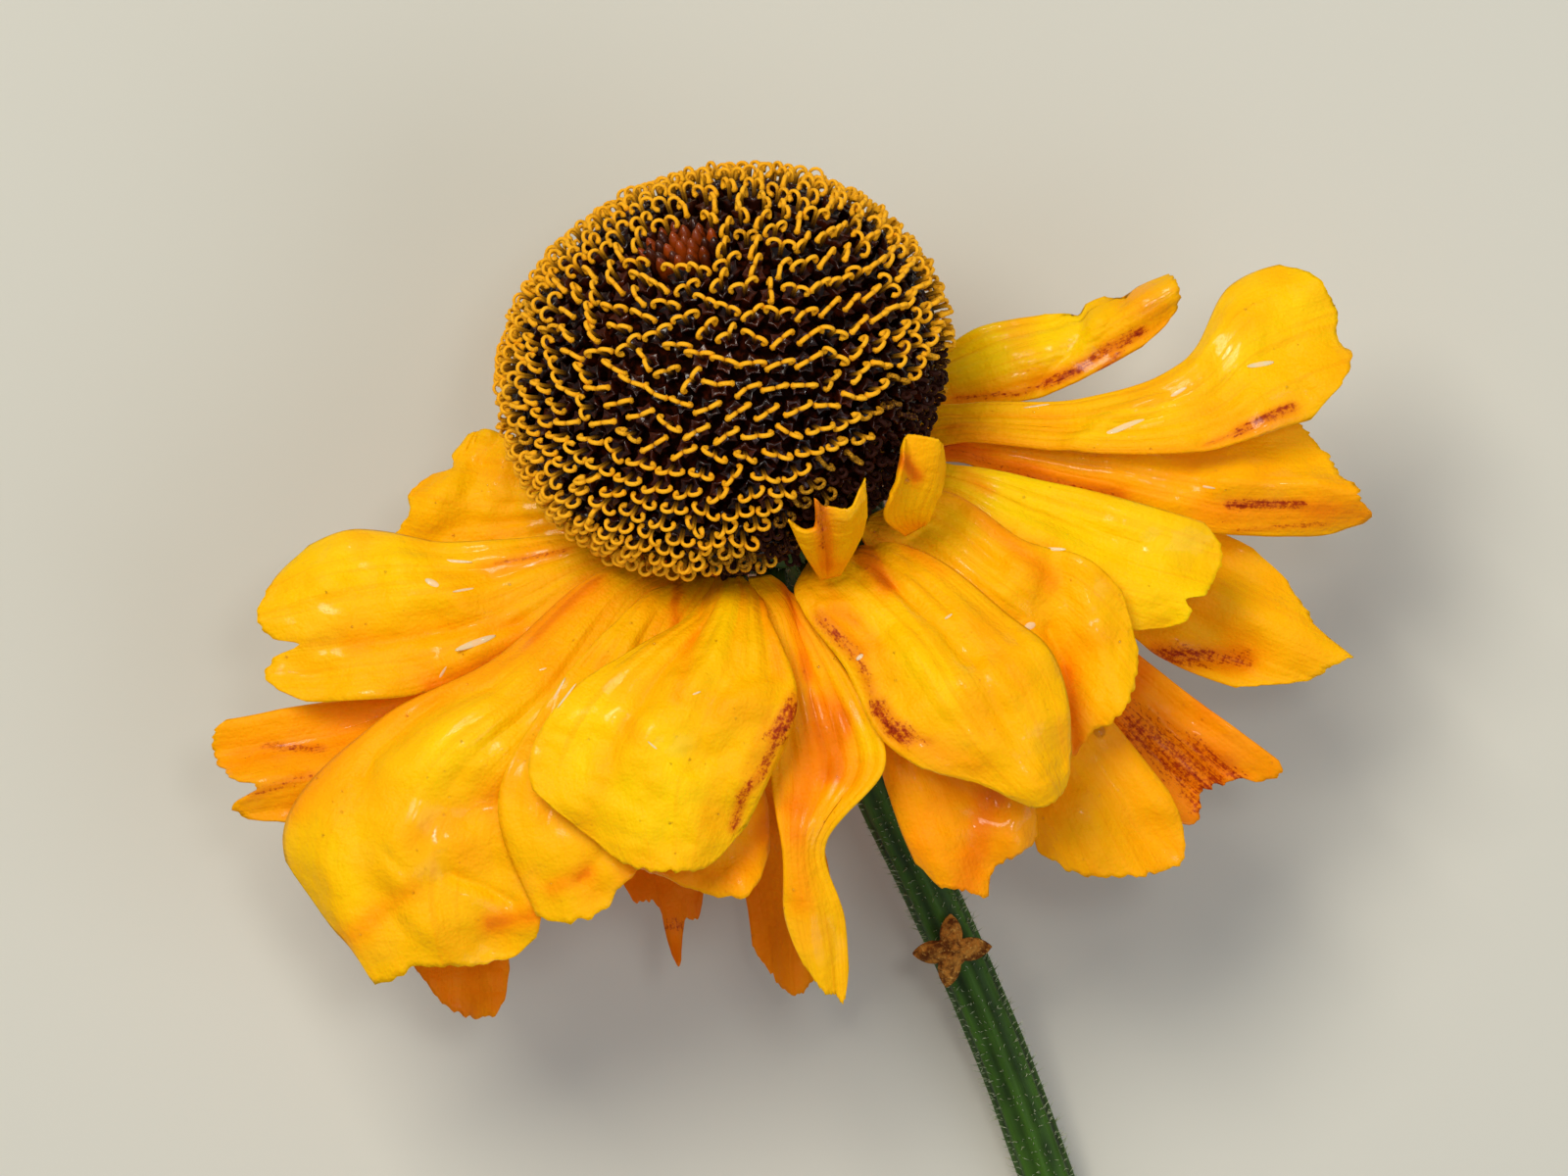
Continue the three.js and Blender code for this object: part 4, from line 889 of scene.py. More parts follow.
        (16.2, -16.0, -4.6, 18.8, -13.0, -5.4, -0.3), (19.8, -20.4, -5.0, 24.2, -17.0, -5.8, -0.2)),
        ((-1, 0.9), (-0.8, 0.935), (-0.62, 0.95), (-0.42, 0.94), (-0.2, 0.915), (0.1, 0.925),
         (0.42, 0.94), (0.56, 0.965), (0.85, 0.975), (1, 0.96)),
        (0.35, 1.6, 0.3), (-0.1,), under=True, painted_shade=0.8,
        stains=(Stroke(((17.0, -13.9), (19.0, -15.2)), 0.4, 0.65),
                Stroke(((19.4, -15.4), (21.4, -17.0)), 0.55, 0.85),
                Stroke(((17.9, -15.8), (19.9, -18.3)), 0.6, 0.8),
                Stroke(((17.0, -15.0), (20.2, -17.2)), 1.5, 0.85)),
        creases=(Stroke(((17.6, -14.0), (20.8, -16.8)), 0.35, -0.3),
                 Stroke(((17.6, -15.6), (19.8, -17.6)), 0.3, -0.25),
                 Stroke(((18.8, -14.6), (22.0, -16.4)), 0.4, 0.2))),
    RayForm("ray_right_under", 7, (
        (9.4, -5.1, -5.9, 9.8, -4.2, -6.2, 0.0), (14.0, -8.2, -6.2, 15.4, -4.8, -6.8, 0.3),
        (18.8, -12.2, -6.4, 21.2, -6.8, -7.0, 0.5), (25.2, -14.2, -6.4, 27.3, -10.5, -7.0, 0.3)),
        ((-1, 0.86), (-0.7, 0.93), (-0.4, 0.965), (0.05, 0.99), (0.18, 1), (0.3, 0.96),
         (0.42, 0.925), (0.6, 0.9), (0.85, 0.86), (1, 0.8)),
        (0.3, 1.4, 0.2), (-0.3, 0.42), under=True, painted_shade=0.1,
        stains=(Stroke(((17.3, -12.1), (18.0, -12.3), (19.1, -12.6)), 0.26, 0.95),
                Stroke(((18.2, -11.7), (20.3, -11.7)), 0.3, 1.0),
                Stroke(((18.0, -11.8), (21.6, -12.0)), 0.7, 0.8)),
        painted_shade_strokes=(Stroke(((18.0, -11.8), (21.5, -12.0)), 0.7, 0.5),
                 Stroke(((19.5, -9.4), (22.6, -11.8)), 0.7, 0.3)),
        creases=(Stroke(((17.8, -12.0), (21.6, -12.0)), 0.5, -0.35),
                 Stroke(((21.6, -11.0), (24.0, -12.6)), 0.4, -0.15))),
    RayForm("ray_right", 9, (
        (9.8, -3.6, -5.2, 9.8, -2.2, -6.2, 0.1), (15.6, -5.1, -4.2, 15.6, -2.0, -5.5, 0.3),
        (20.6, -6.5, -4.1, 21.0, -2.2, -5.4, 0.5), (27.4, -6.6, -4.6, 26.0, -2.0, -5.4, 0.3)),
        ((-1, 0.92), (-0.85, 0.97), (-0.72, 1), (-0.5, 0.985), (-0.22, 0.985), (-0.1, 0.965),
         (0.1, 0.96), (0.4, 0.95), (0.7, 0.93), (1, 0.9)),
        (0.35, 1.6, 0.4), (-0.35, 0.3), hem=0.8, under=True,
        painted_shade=0.1,
        stains=(Stroke(((21.0, -5.5), (24.0, -5.5)), 0.3, 1.0),
                Stroke(((24.0, -5.6), (27.0, -5.9)), 0.28, 0.5),
                Stroke(((21.1, -6.6), (23.2, -6.4), (25.2, -6.3)), 0.2, 0.6),
                Stroke(((20.8, -6.0), (26.5, -6.0)), 0.7, 0.4),
                # painted shadow: this stroke, in the stain colours, darkens the wedge of shadow near the
                # claw
                Stroke(((8.4, -2.9), (12.2, -4.2), (16.2, -5.2)), 0.3, 0.6)),
        painted_shade_strokes=(Stroke(((20.0, -5.8), (27.0, -5.9)), 0.8, 0.6),
                 Stroke(((8.4, -2.9), (13.2, -4.4), (16.4, -5.2)), 0.55, 0.9)),
        creases=(Stroke(((20.4, -5.0), (24.5, -4.8), (27.0, -5.6)), 0.35, 0.25),
                 Stroke(((10.6, -3.7), (16.4, -5.2)), 0.35, -0.25))),
    RayForm("ray_right_high", 8, (
        (10.0, -2.9, -4.2, 10.0, -1.3, -4.8, 0.1), (15.2, -3.4, -2.9, 15.0, -1.1, -3.7, 0.2),
        (20.0, -3.3, -2.4, 19.2, 0.4, -3.6, 0.4), (23.8, -2.2, -2.8, 21.2, 3.7, -4.2, 0.5),
        (27.2, -0.8, -3.4, 24.6, 4.9, -4.4, 0.3)),
        ((-1, 0.84), (-0.8, 0.92), (-0.6, 0.97), (-0.42, 0.99), (-0.2, 0.975), (0.25, 1),
         (0.5, 0.995), (0.85, 0.965), (1, 0.92)),
        (0.3, 1.3, 0.8), (-0.2, 0.4),
        stains=(Stroke(((20.0, -3.1), (21.3, -2.6)), 0.18, 0.6),
                Stroke(((21.3, -2.6), (22.4, -2.0), (23.6, -1.5)), 0.28, 0.9),
                Stroke(((10.0, -1.3), (13.0, -1.2)), 0.15, 0.45)),
        painted_shade_strokes=(Stroke(((9.6, -2.5), (13.0, -3.4), (18.8, -3.7)), 0.5, 0.6),
                 Stroke(((19.8, -3.3), (23.6, -1.7)), 0.45, 0.6)),
        painted_light_strokes=(Stroke(((21.6, 1.2), (23.6, 2.8)), 1.8, 0.7),
               Stroke(((15.0, -2.5), (18.4, -1.7)), 0.7, 0.4)),
        creases=(Stroke(((14.0, -3.7), (16.0, -2.1), (18.0, -1.3)), 0.35, 0.3),
                 Stroke(((9.8, -1.9), (15.0, -2.5)), 0.3, -0.15),
                 Stroke(((20.0, -2.9), (24.0, -0.9)), 0.5, -0.25))),
    RayForm("ray_rear_right", 10, (
        (8.8, -1.6, -7.6, 7.8, 0.2, -8.4, 0.2), (12.6, -1.1, -7.0, 10.6, 1.9, -8.0, 0.4),
        (15.8, 0.2, -6.6, 14.4, 2.9, -7.8, 0.4), (19.9, 2.6, -6.8, 18.2, 5.2, -7.6, 0.2)),
        ((-1, 0.86), (-0.8, 0.93), (-0.45, 0.985), (-0.15, 1), (0.15, 1), (0.36, 0.975),
         (0.46, 0.92), (0.54, 0.86), (0.74, 0.84), (0.82, 0.78), (0.9, 0.73), (1, 0.69)),
        (0.3, 1.4, 0.3), (0.5, 0.84),
        stains=(Stroke(((9.6, -1.1), (12.2, -0.9), (13.4, -0.5)), 0.2, 0.7),
                Stroke(((13.4, -0.5), (14.6, 0.0), (16.0, 1.0), (17.3, 1.7)), 0.34, 0.9),
                Stroke(((15.7, 0.0), (16.4, 0.7)), 0.26, 0.8),
                Stroke(((17.6, 2.4), (18.2, 2.7)), 0.5, 0.45)),
        painted_shade_strokes=(Stroke(((9.8, -1.2), (14.5, 0.0), (18.4, 2.0)), 0.45, 0.5),),
        painted_light_strokes=(Stroke(((10.6, 0.6), (14.0, 1.4)), 1.4, 0.9),),
        creases=(Stroke(((13.0, -0.6), (14.9, 1.4)), 0.4, -0.3),
                 Stroke(((15.5, 0.8), (16.6, 2.7)), 0.3, -0.2)),
        bites=((1, 0.765, 0.022, 0.3), (1, 0.885, 0.015, 0.2))),
    RayForm("ray_foot_right", 11, (
        (5.8, -2.2, -11.6, 3.6, 0.0, -12.0, 0.1), (8.2, -1.2, -15.6, 4.6, 2.6, -15.8, 0.2),
        (8.8, 0.4, -20.0, 5.2, 4.6, -20.0, 0.1), (9.0, 2.4, -20.0, 5.8, 6.4, -20.0, 0)),
        ((-1, 0.9), (-0.6, 0.95), (-0.2, 0.94), (0.2, 0.99), (0.6, 0.99), (1, 0.92)),
        (0.2, 1.3, 0.1), (-0.2,), painted_shade=0.3),
    RayForm("ray_under_twisted", 12, (
        (-1.9, -8.5, -11.6, 0.9, -8.5, -12.0, 0.2), (-1.8, -15.0, -13.2, 2.4, -15.0, -13.4, 0.3),
        (0.6, -21.4, -13.4, 4.4, -21.2, -13.2, 0.2), (1.4, -26.9, -12.8, 4.4, -27.1, -12.8, 0.1)),
        ((-1, 0.88), (-0.75, 0.915), (-0.38, 0.955), (0, 0.975), (0.3, 0.965), (0.5, 0.945),
         (1, 0.92)),
        (0.25, 1.4, 0.2), (0.2,), under=True, painted_shade=0.95,
        finish=Slot.SHADED_RAY),
    RayForm("ray_foot_mid", 13, (
        (1.0, -0.9, -11.6, -1.9, -1.1, -11.6, 0.1), (1.4, 2.2, -15.8, -2.8, 2.0, -15.8, 0.2),
        (1.6, 4.6, -20.0, -3.0, 4.4, -20.0, 0.1), (1.2, 7.2, -20.0, -2.8, 7.0, -20.0, 0)),
        ((-1, 0.88), (-0.6, 0.95), (-0.1, 0.97), (0.2, 0.95), (0.6, 1), (1, 0.9)),
        (0.2, 1.3, 0.5), (0.2,), painted_shade=0.3),
    RayForm("ray_under_tips", 14, (
        (-4.2, -9.5, -10.0, -1.8, -9.5, -10.4, 0.2), (-5.2, -15.5, -10.8, -1.2, -15.5, -11.2, 0.3),
        (-4.5, -21.0, -10.8, -0.9, -21.0, -11.0, 0.2), (-3.6, -25.4, -10.2, -0.8, -25.6, -10.4, 0.1)),
        ((-1, 0.78), (-0.8, 0.825), (-0.35, 0.82), (-0.2, 0.84), (0, 0.96), (0.12, 0.98),
         (0.22, 0.96), (0.42, 0.865), (0.75, 0.86), (1, 0.78)),
        (0.25, 1.4, 0.2), (-0.2, 0.4), under=True, painted_shade=1.2,
        stains=(Stroke(((-2.4, -23.0), (-0.8, -23.2)), 0.5, 0.8),), finish=Slot.SHADED_RAY),
    RayForm("ray_foot_left", 15, (
        (-3.0, -1.7, -11.0, -5.0, -4.0, -10.8, 0.1), (-4.2, 1.2, -15.6, -7.4, -2.2, -15.4, 0.2),
        (-4.8, 3.6, -20.0, -8.4, -0.2, -20.0, 0.1), (-5.4, 5.8, -20.0, -8.8, 2.2, -20.0, 0)),
        ((-1, 0.9), (-0.5, 0.96), (-0.2, 0.94), (0.2, 0.98), (0.6, 1), (1, 0.9)),
        (0.2, 1.3, 0.9), (-0.2,), painted_shade=0.3),
    RayForm("ray_under_left", 16, (
        (-5.6, -9.5, -8.0, -2.8, -10.4, -8.2, 0.2), (-9.8, -15.5, -8.2, -5.0, -16.8, -8.5, 0.4),
        (-13.6, -21.5, -7.6, -8.9, -22.4, -7.9, 0.4), (-14.2, -27.0, -7.0, -9.0, -27.7, -7.2, 0.2)),
        ((-1, 0.85), (-0.66, 0.9), (-0.35, 0.945), (0, 0.975), (0.35, 0.985), (0.7, 0.975),
         (0.88, 0.94), (1, 0.88)),
        (0.3, 1.4, 0.6), (-0.2, 0.5), under=True, painted_shade=0.95,
        finish=Slot.SHADED_RAY),
)

# Two stunted rays that curl up over the rim of the disc
# Their strokes of each hollow are painted shade.
STUNTED_RAYS: tuple[RayForm, ...] = (
    RayForm("ray_stunted_low", None, (
        (3.9, -8.6, 2.7, 4.8, -8.4, 2.5, 0), (3.1, -7.3, 5.8, 5.8, -6.5, 5.0, -0.2),
        (2.4, -5.6, 8.6, 5.9, -4.7, 7.3, -0.2)),
        ((-1, 0.8), (-0.85, 0.72), (-0.5, 0.7), (-0.35, 0.78), (-0.25, 0.96), (-0.1, 0.86),
         (0.4, 0.84), (0.85, 0.9), (1, 1)),
        (0.3, 1.96, 0.36), (-0.25,), painted_shade=0.1,
        stains=(Stroke(((3.9, -5.6), (4.0, -7.2)), 0.16, 0.8),),
        painted_shade_strokes=(Stroke(((3.9, -5.4), (4.2, -7.8)), 0.45, 1.0),)),
    RayForm("ray_stunted_curled", None, (
        (7.4, -6.8, 0.8, 8.3, -6.3, 0.4, 0), (6.6, -6.1, 4.4, 8.5, -6.1, 2.7, 0.2),
        (7.1, -4.7, 6.1, 9.0, -4.5, 4.0, 0.3), (7.5, -2.9, 6.7, 8.9, -2.7, 5.0, 0.1)),
        ((-1, 0.86), (-0.6, 0.96), (-0.1, 1), (0.3, 1), (0.7, 0.96), (1, 0.86)),
        (0.5, 1, 0.47), (), painted_shade=0.1,
        painted_shade_strokes=(Stroke(((7.4, -3.7), (7.9, -4.3)), 0.35, 1.3),)),
)


@dataclass
class RayFloret:
    """The fine blade of one ray: its solid's form, thinner, with pleats, ruffles and crumples."""

    form: RayForm
    seed: int
    columns: int = 54            # across the blade
    rows: int = 84               # along it
    thickness: float = 0.24      # mm in the middle of the blade
    margin_thickness: float = 0.09
    pleat_depth: float = 0.25    # mm, the lengthwise furrows
    pleat_width: float = 0.14    # as a share of half the blade's width
    pleat_rounding: float = 0.005
    full_width: float = 6.0      # mm, where the relief has its whole height
    rib_depth: float = 0.05      # finer ribs between them
    crumple: float = 0.2         # mm, the soft dents of a limp blade
    claw_flare: float = 0.25     # mm, how much wider each side is just past the claw
    dent: float = 3.2            # mm, how long the soft dents are
    wrinkle: float = 0.03        # mm, the finer relief on them
    wrinkle_length: float = 1.1
    ruffle: float = 0.08         # mm, the waves of the margin
    ruffle_length: float = 0.6   # share of half the width
    relief_run: float = 18.0     # mm that the relief runs along the blade
    tooth: float = 0.0035        # share of the length, the uneven margin

    def across(self) -> np.ndarray:
        """Returns the places across the blade, with every point of the rim among them."""
        edges = [place for place, _ in self.form.rim]
        places = []
        for low, high in zip(edges[:-1], edges[1:]):
            count = max(3, round(self.columns * (high - low) / 2))
            places.append(np.linspace(low, high, count, endpoint=False))
        return np.append(np.concatenate(places), 1.0)

    def surface(self, s: np.ndarray, v: np.ndarray) -> tuple[np.ndarray, np.ndarray]:
        """Gives the middle surface of the blade.

        Args:
            s: Shares of the way from the claw to the margin.
            v: Places across the blade.

        Returns:
            The points, and how far along the blade each one is.
        """
        form = self.form
        rows = form.all_rows()
        uneven = Ripple(self.seed, 0.12).at(v, np.zeros_like(v))
        t = s * (1 - (1 - form.margin(v)) * s * s) + self.tooth * uneven * smoothstep(0.75, 1.0, s)
        at = through(rows, t)
        step = 0.01
        ahead = through(rows, np.minimum(t + step, 1.0)) - through(rows, np.maximum(t - step, 0.0))
        tangent = ahead[..., 0:3] + ahead[..., 3:6]
        outward = unit(np.cross(tangent, at[..., 3:6] - at[..., 0:3]))
        height, count, start = form.wave
        furrow = sum(np.exp(-(((v - fold) / self.pleat_width) ** 2)) for fold in form.folds)
        rise = np.sin(np.pi * np.minimum(1.0, 1.2 * t))
        width = np.linalg.norm(at[..., 3:6] - at[..., 0:3], axis=-1)
        pleat = np.minimum(self.pleat_depth, self.pleat_rounding * width * width)
        lift = at[..., 6] * (1 - v * v) - pleat * furrow * rise
        lift += height * t * t * np.sin(2 * np.pi * (count * v / 2 + start))
        lift -= form.hem * t * np.maximum(0, (-v - 0.6) / 0.4) ** 2
        broad = np.minimum(1.0, width / self.full_width)
        lift += self.rib_depth * broad * np.cos(2 * np.pi * (v * 3.5 + 0.1 * self.seed)) * rise
        free = smoothstep(0.15, 0.6, t) * broad
        beside, beyond = width * v / 2, self.relief_run * t
        lift += self.crumple * free * Ripple(self.seed + 40, self.dent).at(beside, beyond)
        lift += self.wrinkle * free * Ripple(self.seed + 80, self.wrinkle_length).at(beside, beyond)
        waves = Ripple(self.seed + 120, self.ruffle_length).at(v, 0 * v)
        lift += self.ruffle * broad * smoothstep(0.85, 1.0, s) * waves
        first = np.clip(t * (len(rows) - 1), 0, 1) if form.slot is not None else np.zeros_like(t)
        flare = 1 + 2 * self.claw_flare / width * np.sin(np.pi * first)
        drawn = v
        for side, place, extent, depth in form.bites:
            taken = depth * np.exp(-(((t - place) / extent) ** 2))
            drawn = drawn - side * np.maximum(0, side * drawn) * taken
        share = ((drawn * flare + 1) / 2)[..., None]
        middle = at[..., 0:3] * (1 - share) + at[..., 3:6] * share
        x, y = as_seen(middle)
        for crease in form.creases:
            lift = lift + crease.on(x, y)
        return middle + outward * lift[..., None], t

    def marks(self, points: np.ndarray, t: np.ndarray, v: np.ndarray) -> dict[str, np.ndarray]:
        """Gives what the finish reads at each point.

        Args:
            points: The blade's points.
            t: How far along the blade each one is.
            v: Its place across the blade.

        Returns:
            The named marks, flat.
        """
        form = self.form
        x, y = as_seen(points)
        # painted shade: orange by the blade's own share, in the furrows and more towards the claw, near
        # the claw, in random patches, and along the strokes of each hollow
        furrow = sum(np.exp(-(((v - fold) / 0.09) ** 2)) for fold in form.folds)
        painted_shade = form.painted_shade + 0.3 * furrow * smoothstep(1.0, 0.1, t)
        painted_shade = painted_shade + 0.35 * smoothstep(0.35, 0.05, t)
        painted_shade = painted_shade + 0.18 * np.maximum(0, Ripple(self.seed + 160, 3.0).at(x, y))
        for stroke in form.painted_shade_strokes:
            painted_shade = painted_shade + stroke.on(x, y)
        stain = np.zeros_like(t)
        for stroke in form.stains:
            stain = np.maximum(stain, stroke.on(x, y))
        # painted light: lighter yellow along the strokes of the brightest places
        painted_light = np.zeros_like(t)
        for stroke in form.painted_light_strokes:
            painted_light = painted_light + stroke.on(x, y)
        blade = np.stack([5.0 * v, 20.0 * t, np.full_like(t, 7.3 * self.seed)], -1)
        return {"blade": blade.reshape(-1, 3), "painted_shade": painted_shade.ravel(),
                "stain": stain.ravel(), "painted_light": painted_light.ravel()}

    def build(self, material: bpy.types.Material) -> bpy.types.Object:
        """Makes the blade and puts it in place of its solid.

        Args:
            material: The blade's finish.

        Returns:
            The piece.
        """
        places = self.across()
        s, v = np.meshgrid(np.linspace(0, 1, self.rows + 1), places, indexing="ij")
        middle, t = self.surface(s, v)
        down = np.gradient(middle, axis=0)
        side = np.gradient(middle, axis=1)
        normal = unit(np.cross(down, side))
        near_rim = np.maximum(smoothstep(0.93, 1.0, s), smoothstep(0.93, 1.0, np.abs(v)))
        half = (self.thickness + (self.margin_thickness - self.thickness) * near_rim) / 2
        floor = -DISC_MIDDLE[2] + 0.01
        above = middle + normal * half[..., None]
        below = middle - normal * half[..., None]
        low = np.minimum(above[..., 2], below[..., 2])
        shift = np.maximum(0.0, floor - low)
        above[..., 2] += shift
        below[..., 2] += shift
        rows, columns = s.shape
        number = np.arange(rows * columns).reshape(rows, columns)
        quads = np.stack([number[:-1, :-1], number[1:, :-1], number[1:, 1:], number[:-1, 1:]],
                         -1).reshape(-1, 4)
        total = rows * columns
        rim = np.concatenate([number[0, :-1], number[:-1, -1], number[-1, :0:-1],
                              number[:0:-1, 0]])
        following = np.roll(rim, -1)
        side_faces = np.stack([rim, following, following + total, rim + total], -1)
        one = self.marks(middle, t, v)
        marks = {name: np.concatenate([values, values]) for name, values in one.items()}
        points = np.concatenate([above.reshape(-1, 3), below.reshape(-1, 3)])
        return make_piece(self.form.name + "_blade", points,
                          [quads, quads[:, ::-1] + total, side_faces], material,
                          (self.form.name,), marks)


def on_core(degrees: np.ndarray, rise: np.ndarray, sunk: float = 0.0) -> np.ndarray:
    """Gives places on the disc's core, which has a dimple in its unopened middle.

    Args:
        degrees: Turn round the axis.
        rise: Angle above the disc's widest ring, in radians.
        sunk: How far below the core's skin.

    Returns:
        The places.
    """
    radius = (CORE_RADIUS - sunk) * np.cos(rise)
    radius = np.where(rise < 0, np.maximum(radius, DISC_FLOOR_RADIUS - sunk), radius)
    dimple = np.where(rise > 0, DIMPLE_DEPTH * np.exp(-((radius / DIMPLE_RADIUS) ** 2)), 0.0)
    return on_ring(degrees, radius, (CORE_HALF_HEIGHT - sunk) * np.sin(rise) - dimple)


def closed_tubes(name: str, rings: list[np.ndarray], redness: np.ndarray,
                 material: bpy.types.Material) -> bpy.types.Object:
    """Makes many small closed tubes of disc tissue as one piece.

    Args:
        name: The piece's name.
        rings: The rings from foot to top, each as tubes by corners by 3.
        redness: How red each tube is.
        material: Their finish.

    Returns:
        The piece.
    """
    corners = rings[0].shape[1]
    shape = np.concatenate([*rings, rings[0].mean(1, keepdims=True),
                            rings[-1].mean(1, keepdims=True)], 1)
    points, walls = scattered(shape, tube_faces(len(rings), corners))
    caps = scattered(shape, end_faces(len(rings), corners))[1]
    return make_piece(name, points, [walls, caps], material, (),
                      {"red": np.repeat(redness, shape.shape[1])})


@dataclass
class Disc:
    """The domed disc: a dark core, packed dark florets and the golden forked styles."""

    florets: int = 760
    lowest: float = -0.86        # share of the half height where the florets end
    branch_radius: float = 0.26  # mm, of the curl
    branch_width: float = 0.20
    branch_depth: float = 0.16
    branch_steps: int = 11
    branch_sides: int = 6
    style_rise: float = 0.25     # mm that the styles stand above their solid
    bud_zone: float = 1.6        # mm, how far the buds reach from the middle of the dimple
    bud_count: int = 30
    seed: int = 11
    feet: np.ndarray = field(init=False)
    outward: np.ndarray = field(init=False)
    along: np.ndarray = field(init=False)
    turn: np.ndarray = field(init=False)
    level: np.ndarray = field(init=False)
    wither: np.ndarray = field(init=False)

    def __post_init__(self) -> None:
        """Spreads the florets over the core by the golden angle."""
        draw = np.random.default_rng(self.seed)
        order = np.arange(self.florets)
        share = 1 - (order + 0.5) / self.florets * (1 - self.lowest)
        self.turn = (order * GOLDEN_ANGLE) % 360
        self.level = share
        self.feet = on_core(self.turn, np.arcsin(share))
        spread = np.sqrt(1 - share**2)
        self.outward = unit(on_ring(self.turn, spread / CORE_RADIUS, share / CORE_HALF_HEIGHT))
        tangent = ring_tangent(self.turn)
        slope = np.cross(self.outward, tangent)
        swing = np.radians(draw.normal(-14, 30, self.florets))[:, None]
        self.along = unit(np.cos(swing) * tangent + np.sin(swing) * slope)
        self.wither = self.withering(draw)

    def withering(self, draw: np.random.Generator) -> np.ndarray:
        """Returns how withered each floret's style is: most at the lower right and the rim."""
        x, y = self.feet[:, 0], self.feet[:, 1]
        right = smoothstep(4.0, 6.6, x * 0.72 - y * 0.70)
        rim = smoothstep(-0.52, -0.76, self.level)
        return np.clip(np.maximum(right, rim) + draw.normal(0, 0.16, self.florets), 0, 1)

    def core(self, material: bpy.types.Material) -> bpy.types.Object:
        """Makes the dark core under the florets.

        Args:
            material: Its finish.

        Returns:
            The piece.
        """
        rings, sides = 48, 96
        rise = np.linspace(math.asin(DISC_FLOOR / CORE_HALF_HEIGHT), math.radians(89), rings)
        degrees = -360 * np.arange(sides) / sides
        grid_rise, grid_turn = np.meshgrid(rise, degrees, indexing="ij")
        points = on_core(grid_turn, grid_rise, sunk=0.12).reshape(-1, 3)
        low = points[:sides].mean(0)
        high = points[-sides:].mean(0)
        points = np.concatenate([points, [low], [high]])
        faces = [tube_faces(rings, sides), end_faces(rings, sides)]
        return make_piece("disc_core", points, faces, material, (),
                          {"red": np.zeros(len(points))})

    def dark_florets(self, material: bpy.types.Material) -> bpy.types.Object:
        """Makes the open florets: short tubes with five lobes.

        Args:
            material: Their finish.

        Returns:
            The piece.
        """
        draw = np.random.default_rng(self.seed + 1)
        corners = 10
        lobe = np.arange(corners) % 2 == 0
        shown = ~self.closed()
        feet, outward, along = self.feet[shown], self.outward[shown], self.along[shown]
        total = len(feet)
        #            height, radius at a lobe, radius between lobes
        opened = ((-0.35, 0.30, 0.30), (0.30, 0.33, 0.31), (0.55, 0.48, 0.33),
                  (0.62, 0.46, 0.24), (0.34, 0.15, 0.15))
        spin = draw.uniform(0, 2 * np.pi, total)
        angle = spin[:, None] + 2 * np.pi * np.arange(corners) / corners
        second = np.cross(outward, along)
        size = (draw.uniform(0.9, 1.15, total) * (1 - 0.25 * self.wither[shown]))[:, None]
        flat = (np.cos(angle)[..., None] * along[:, None]
                + np.sin(angle)[..., None] * second[:, None])
        rings = []
        for height, at_lobe, between in opened:
            radius = np.where(lobe, at_lobe, between) * size
            radius = radius * draw.uniform(0.88, 1.12, radius.shape)
            lift = height * size + draw.normal(0, 0.03, radius.shape)
            rings.append(feet[:, None] + flat * radius[..., None]
                         + outward[:, None] * lift[..., None])
        redness = draw.uniform(0, 0.35, total) ** 2
        return closed_tubes("disc_florets", rings, redness, material)

    def buds(self, material: bpy.types.Material) -> bpy.types.Object:
        """Makes the narrow pointed buds that are packed in the dimple.

        Args:
            material: Their finish.

        Returns:
            The piece.
        """
        draw = np.random.default_rng(self.seed + 3)
        order = np.arange(self.bud_count)
        turn = (order * GOLDEN_ANGLE) % 360
        reach = self.bud_zone * np.sqrt((order + 0.5) / self.bud_count)
        feet = on_core(turn, np.arccos(reach / CORE_RADIUS))
        up = unit(on_ring(turn, 0.15 * reach, np.ones(self.bud_count)))
        first = unit(np.cross(up, FRONT))
        second = np.cross(up, first)
        angle = 2 * np.pi * np.arange(8) / 8
        flat = (np.cos(angle)[:, None] * first[:, None]
                + np.sin(angle)[:, None] * second[:, None])
        size = draw.uniform(0.85, 1.15, self.bud_count)[:, None, None]
        #          height, radius
        profile = ((-0.3, 0.22), (0.15, 0.28), (0.5, 0.26), (0.78, 0.15), (0.92, 0.04))
        rings = [feet[:, None] + size * (flat * radius + up[:, None] * height)
                 for height, radius in profile]
        redness = 0.7 * draw.uniform(0.05, 1.0, self.bud_count) ** 1.5
        return closed_tubes("disc_buds", rings, redness, material)

    def closed(self) -> np.ndarray:
        """Returns which florets are still in bud, in the dimple."""
        out = np.linalg.norm(self.feet - self.feet[0], axis=1)
        return out < self.bud_zone

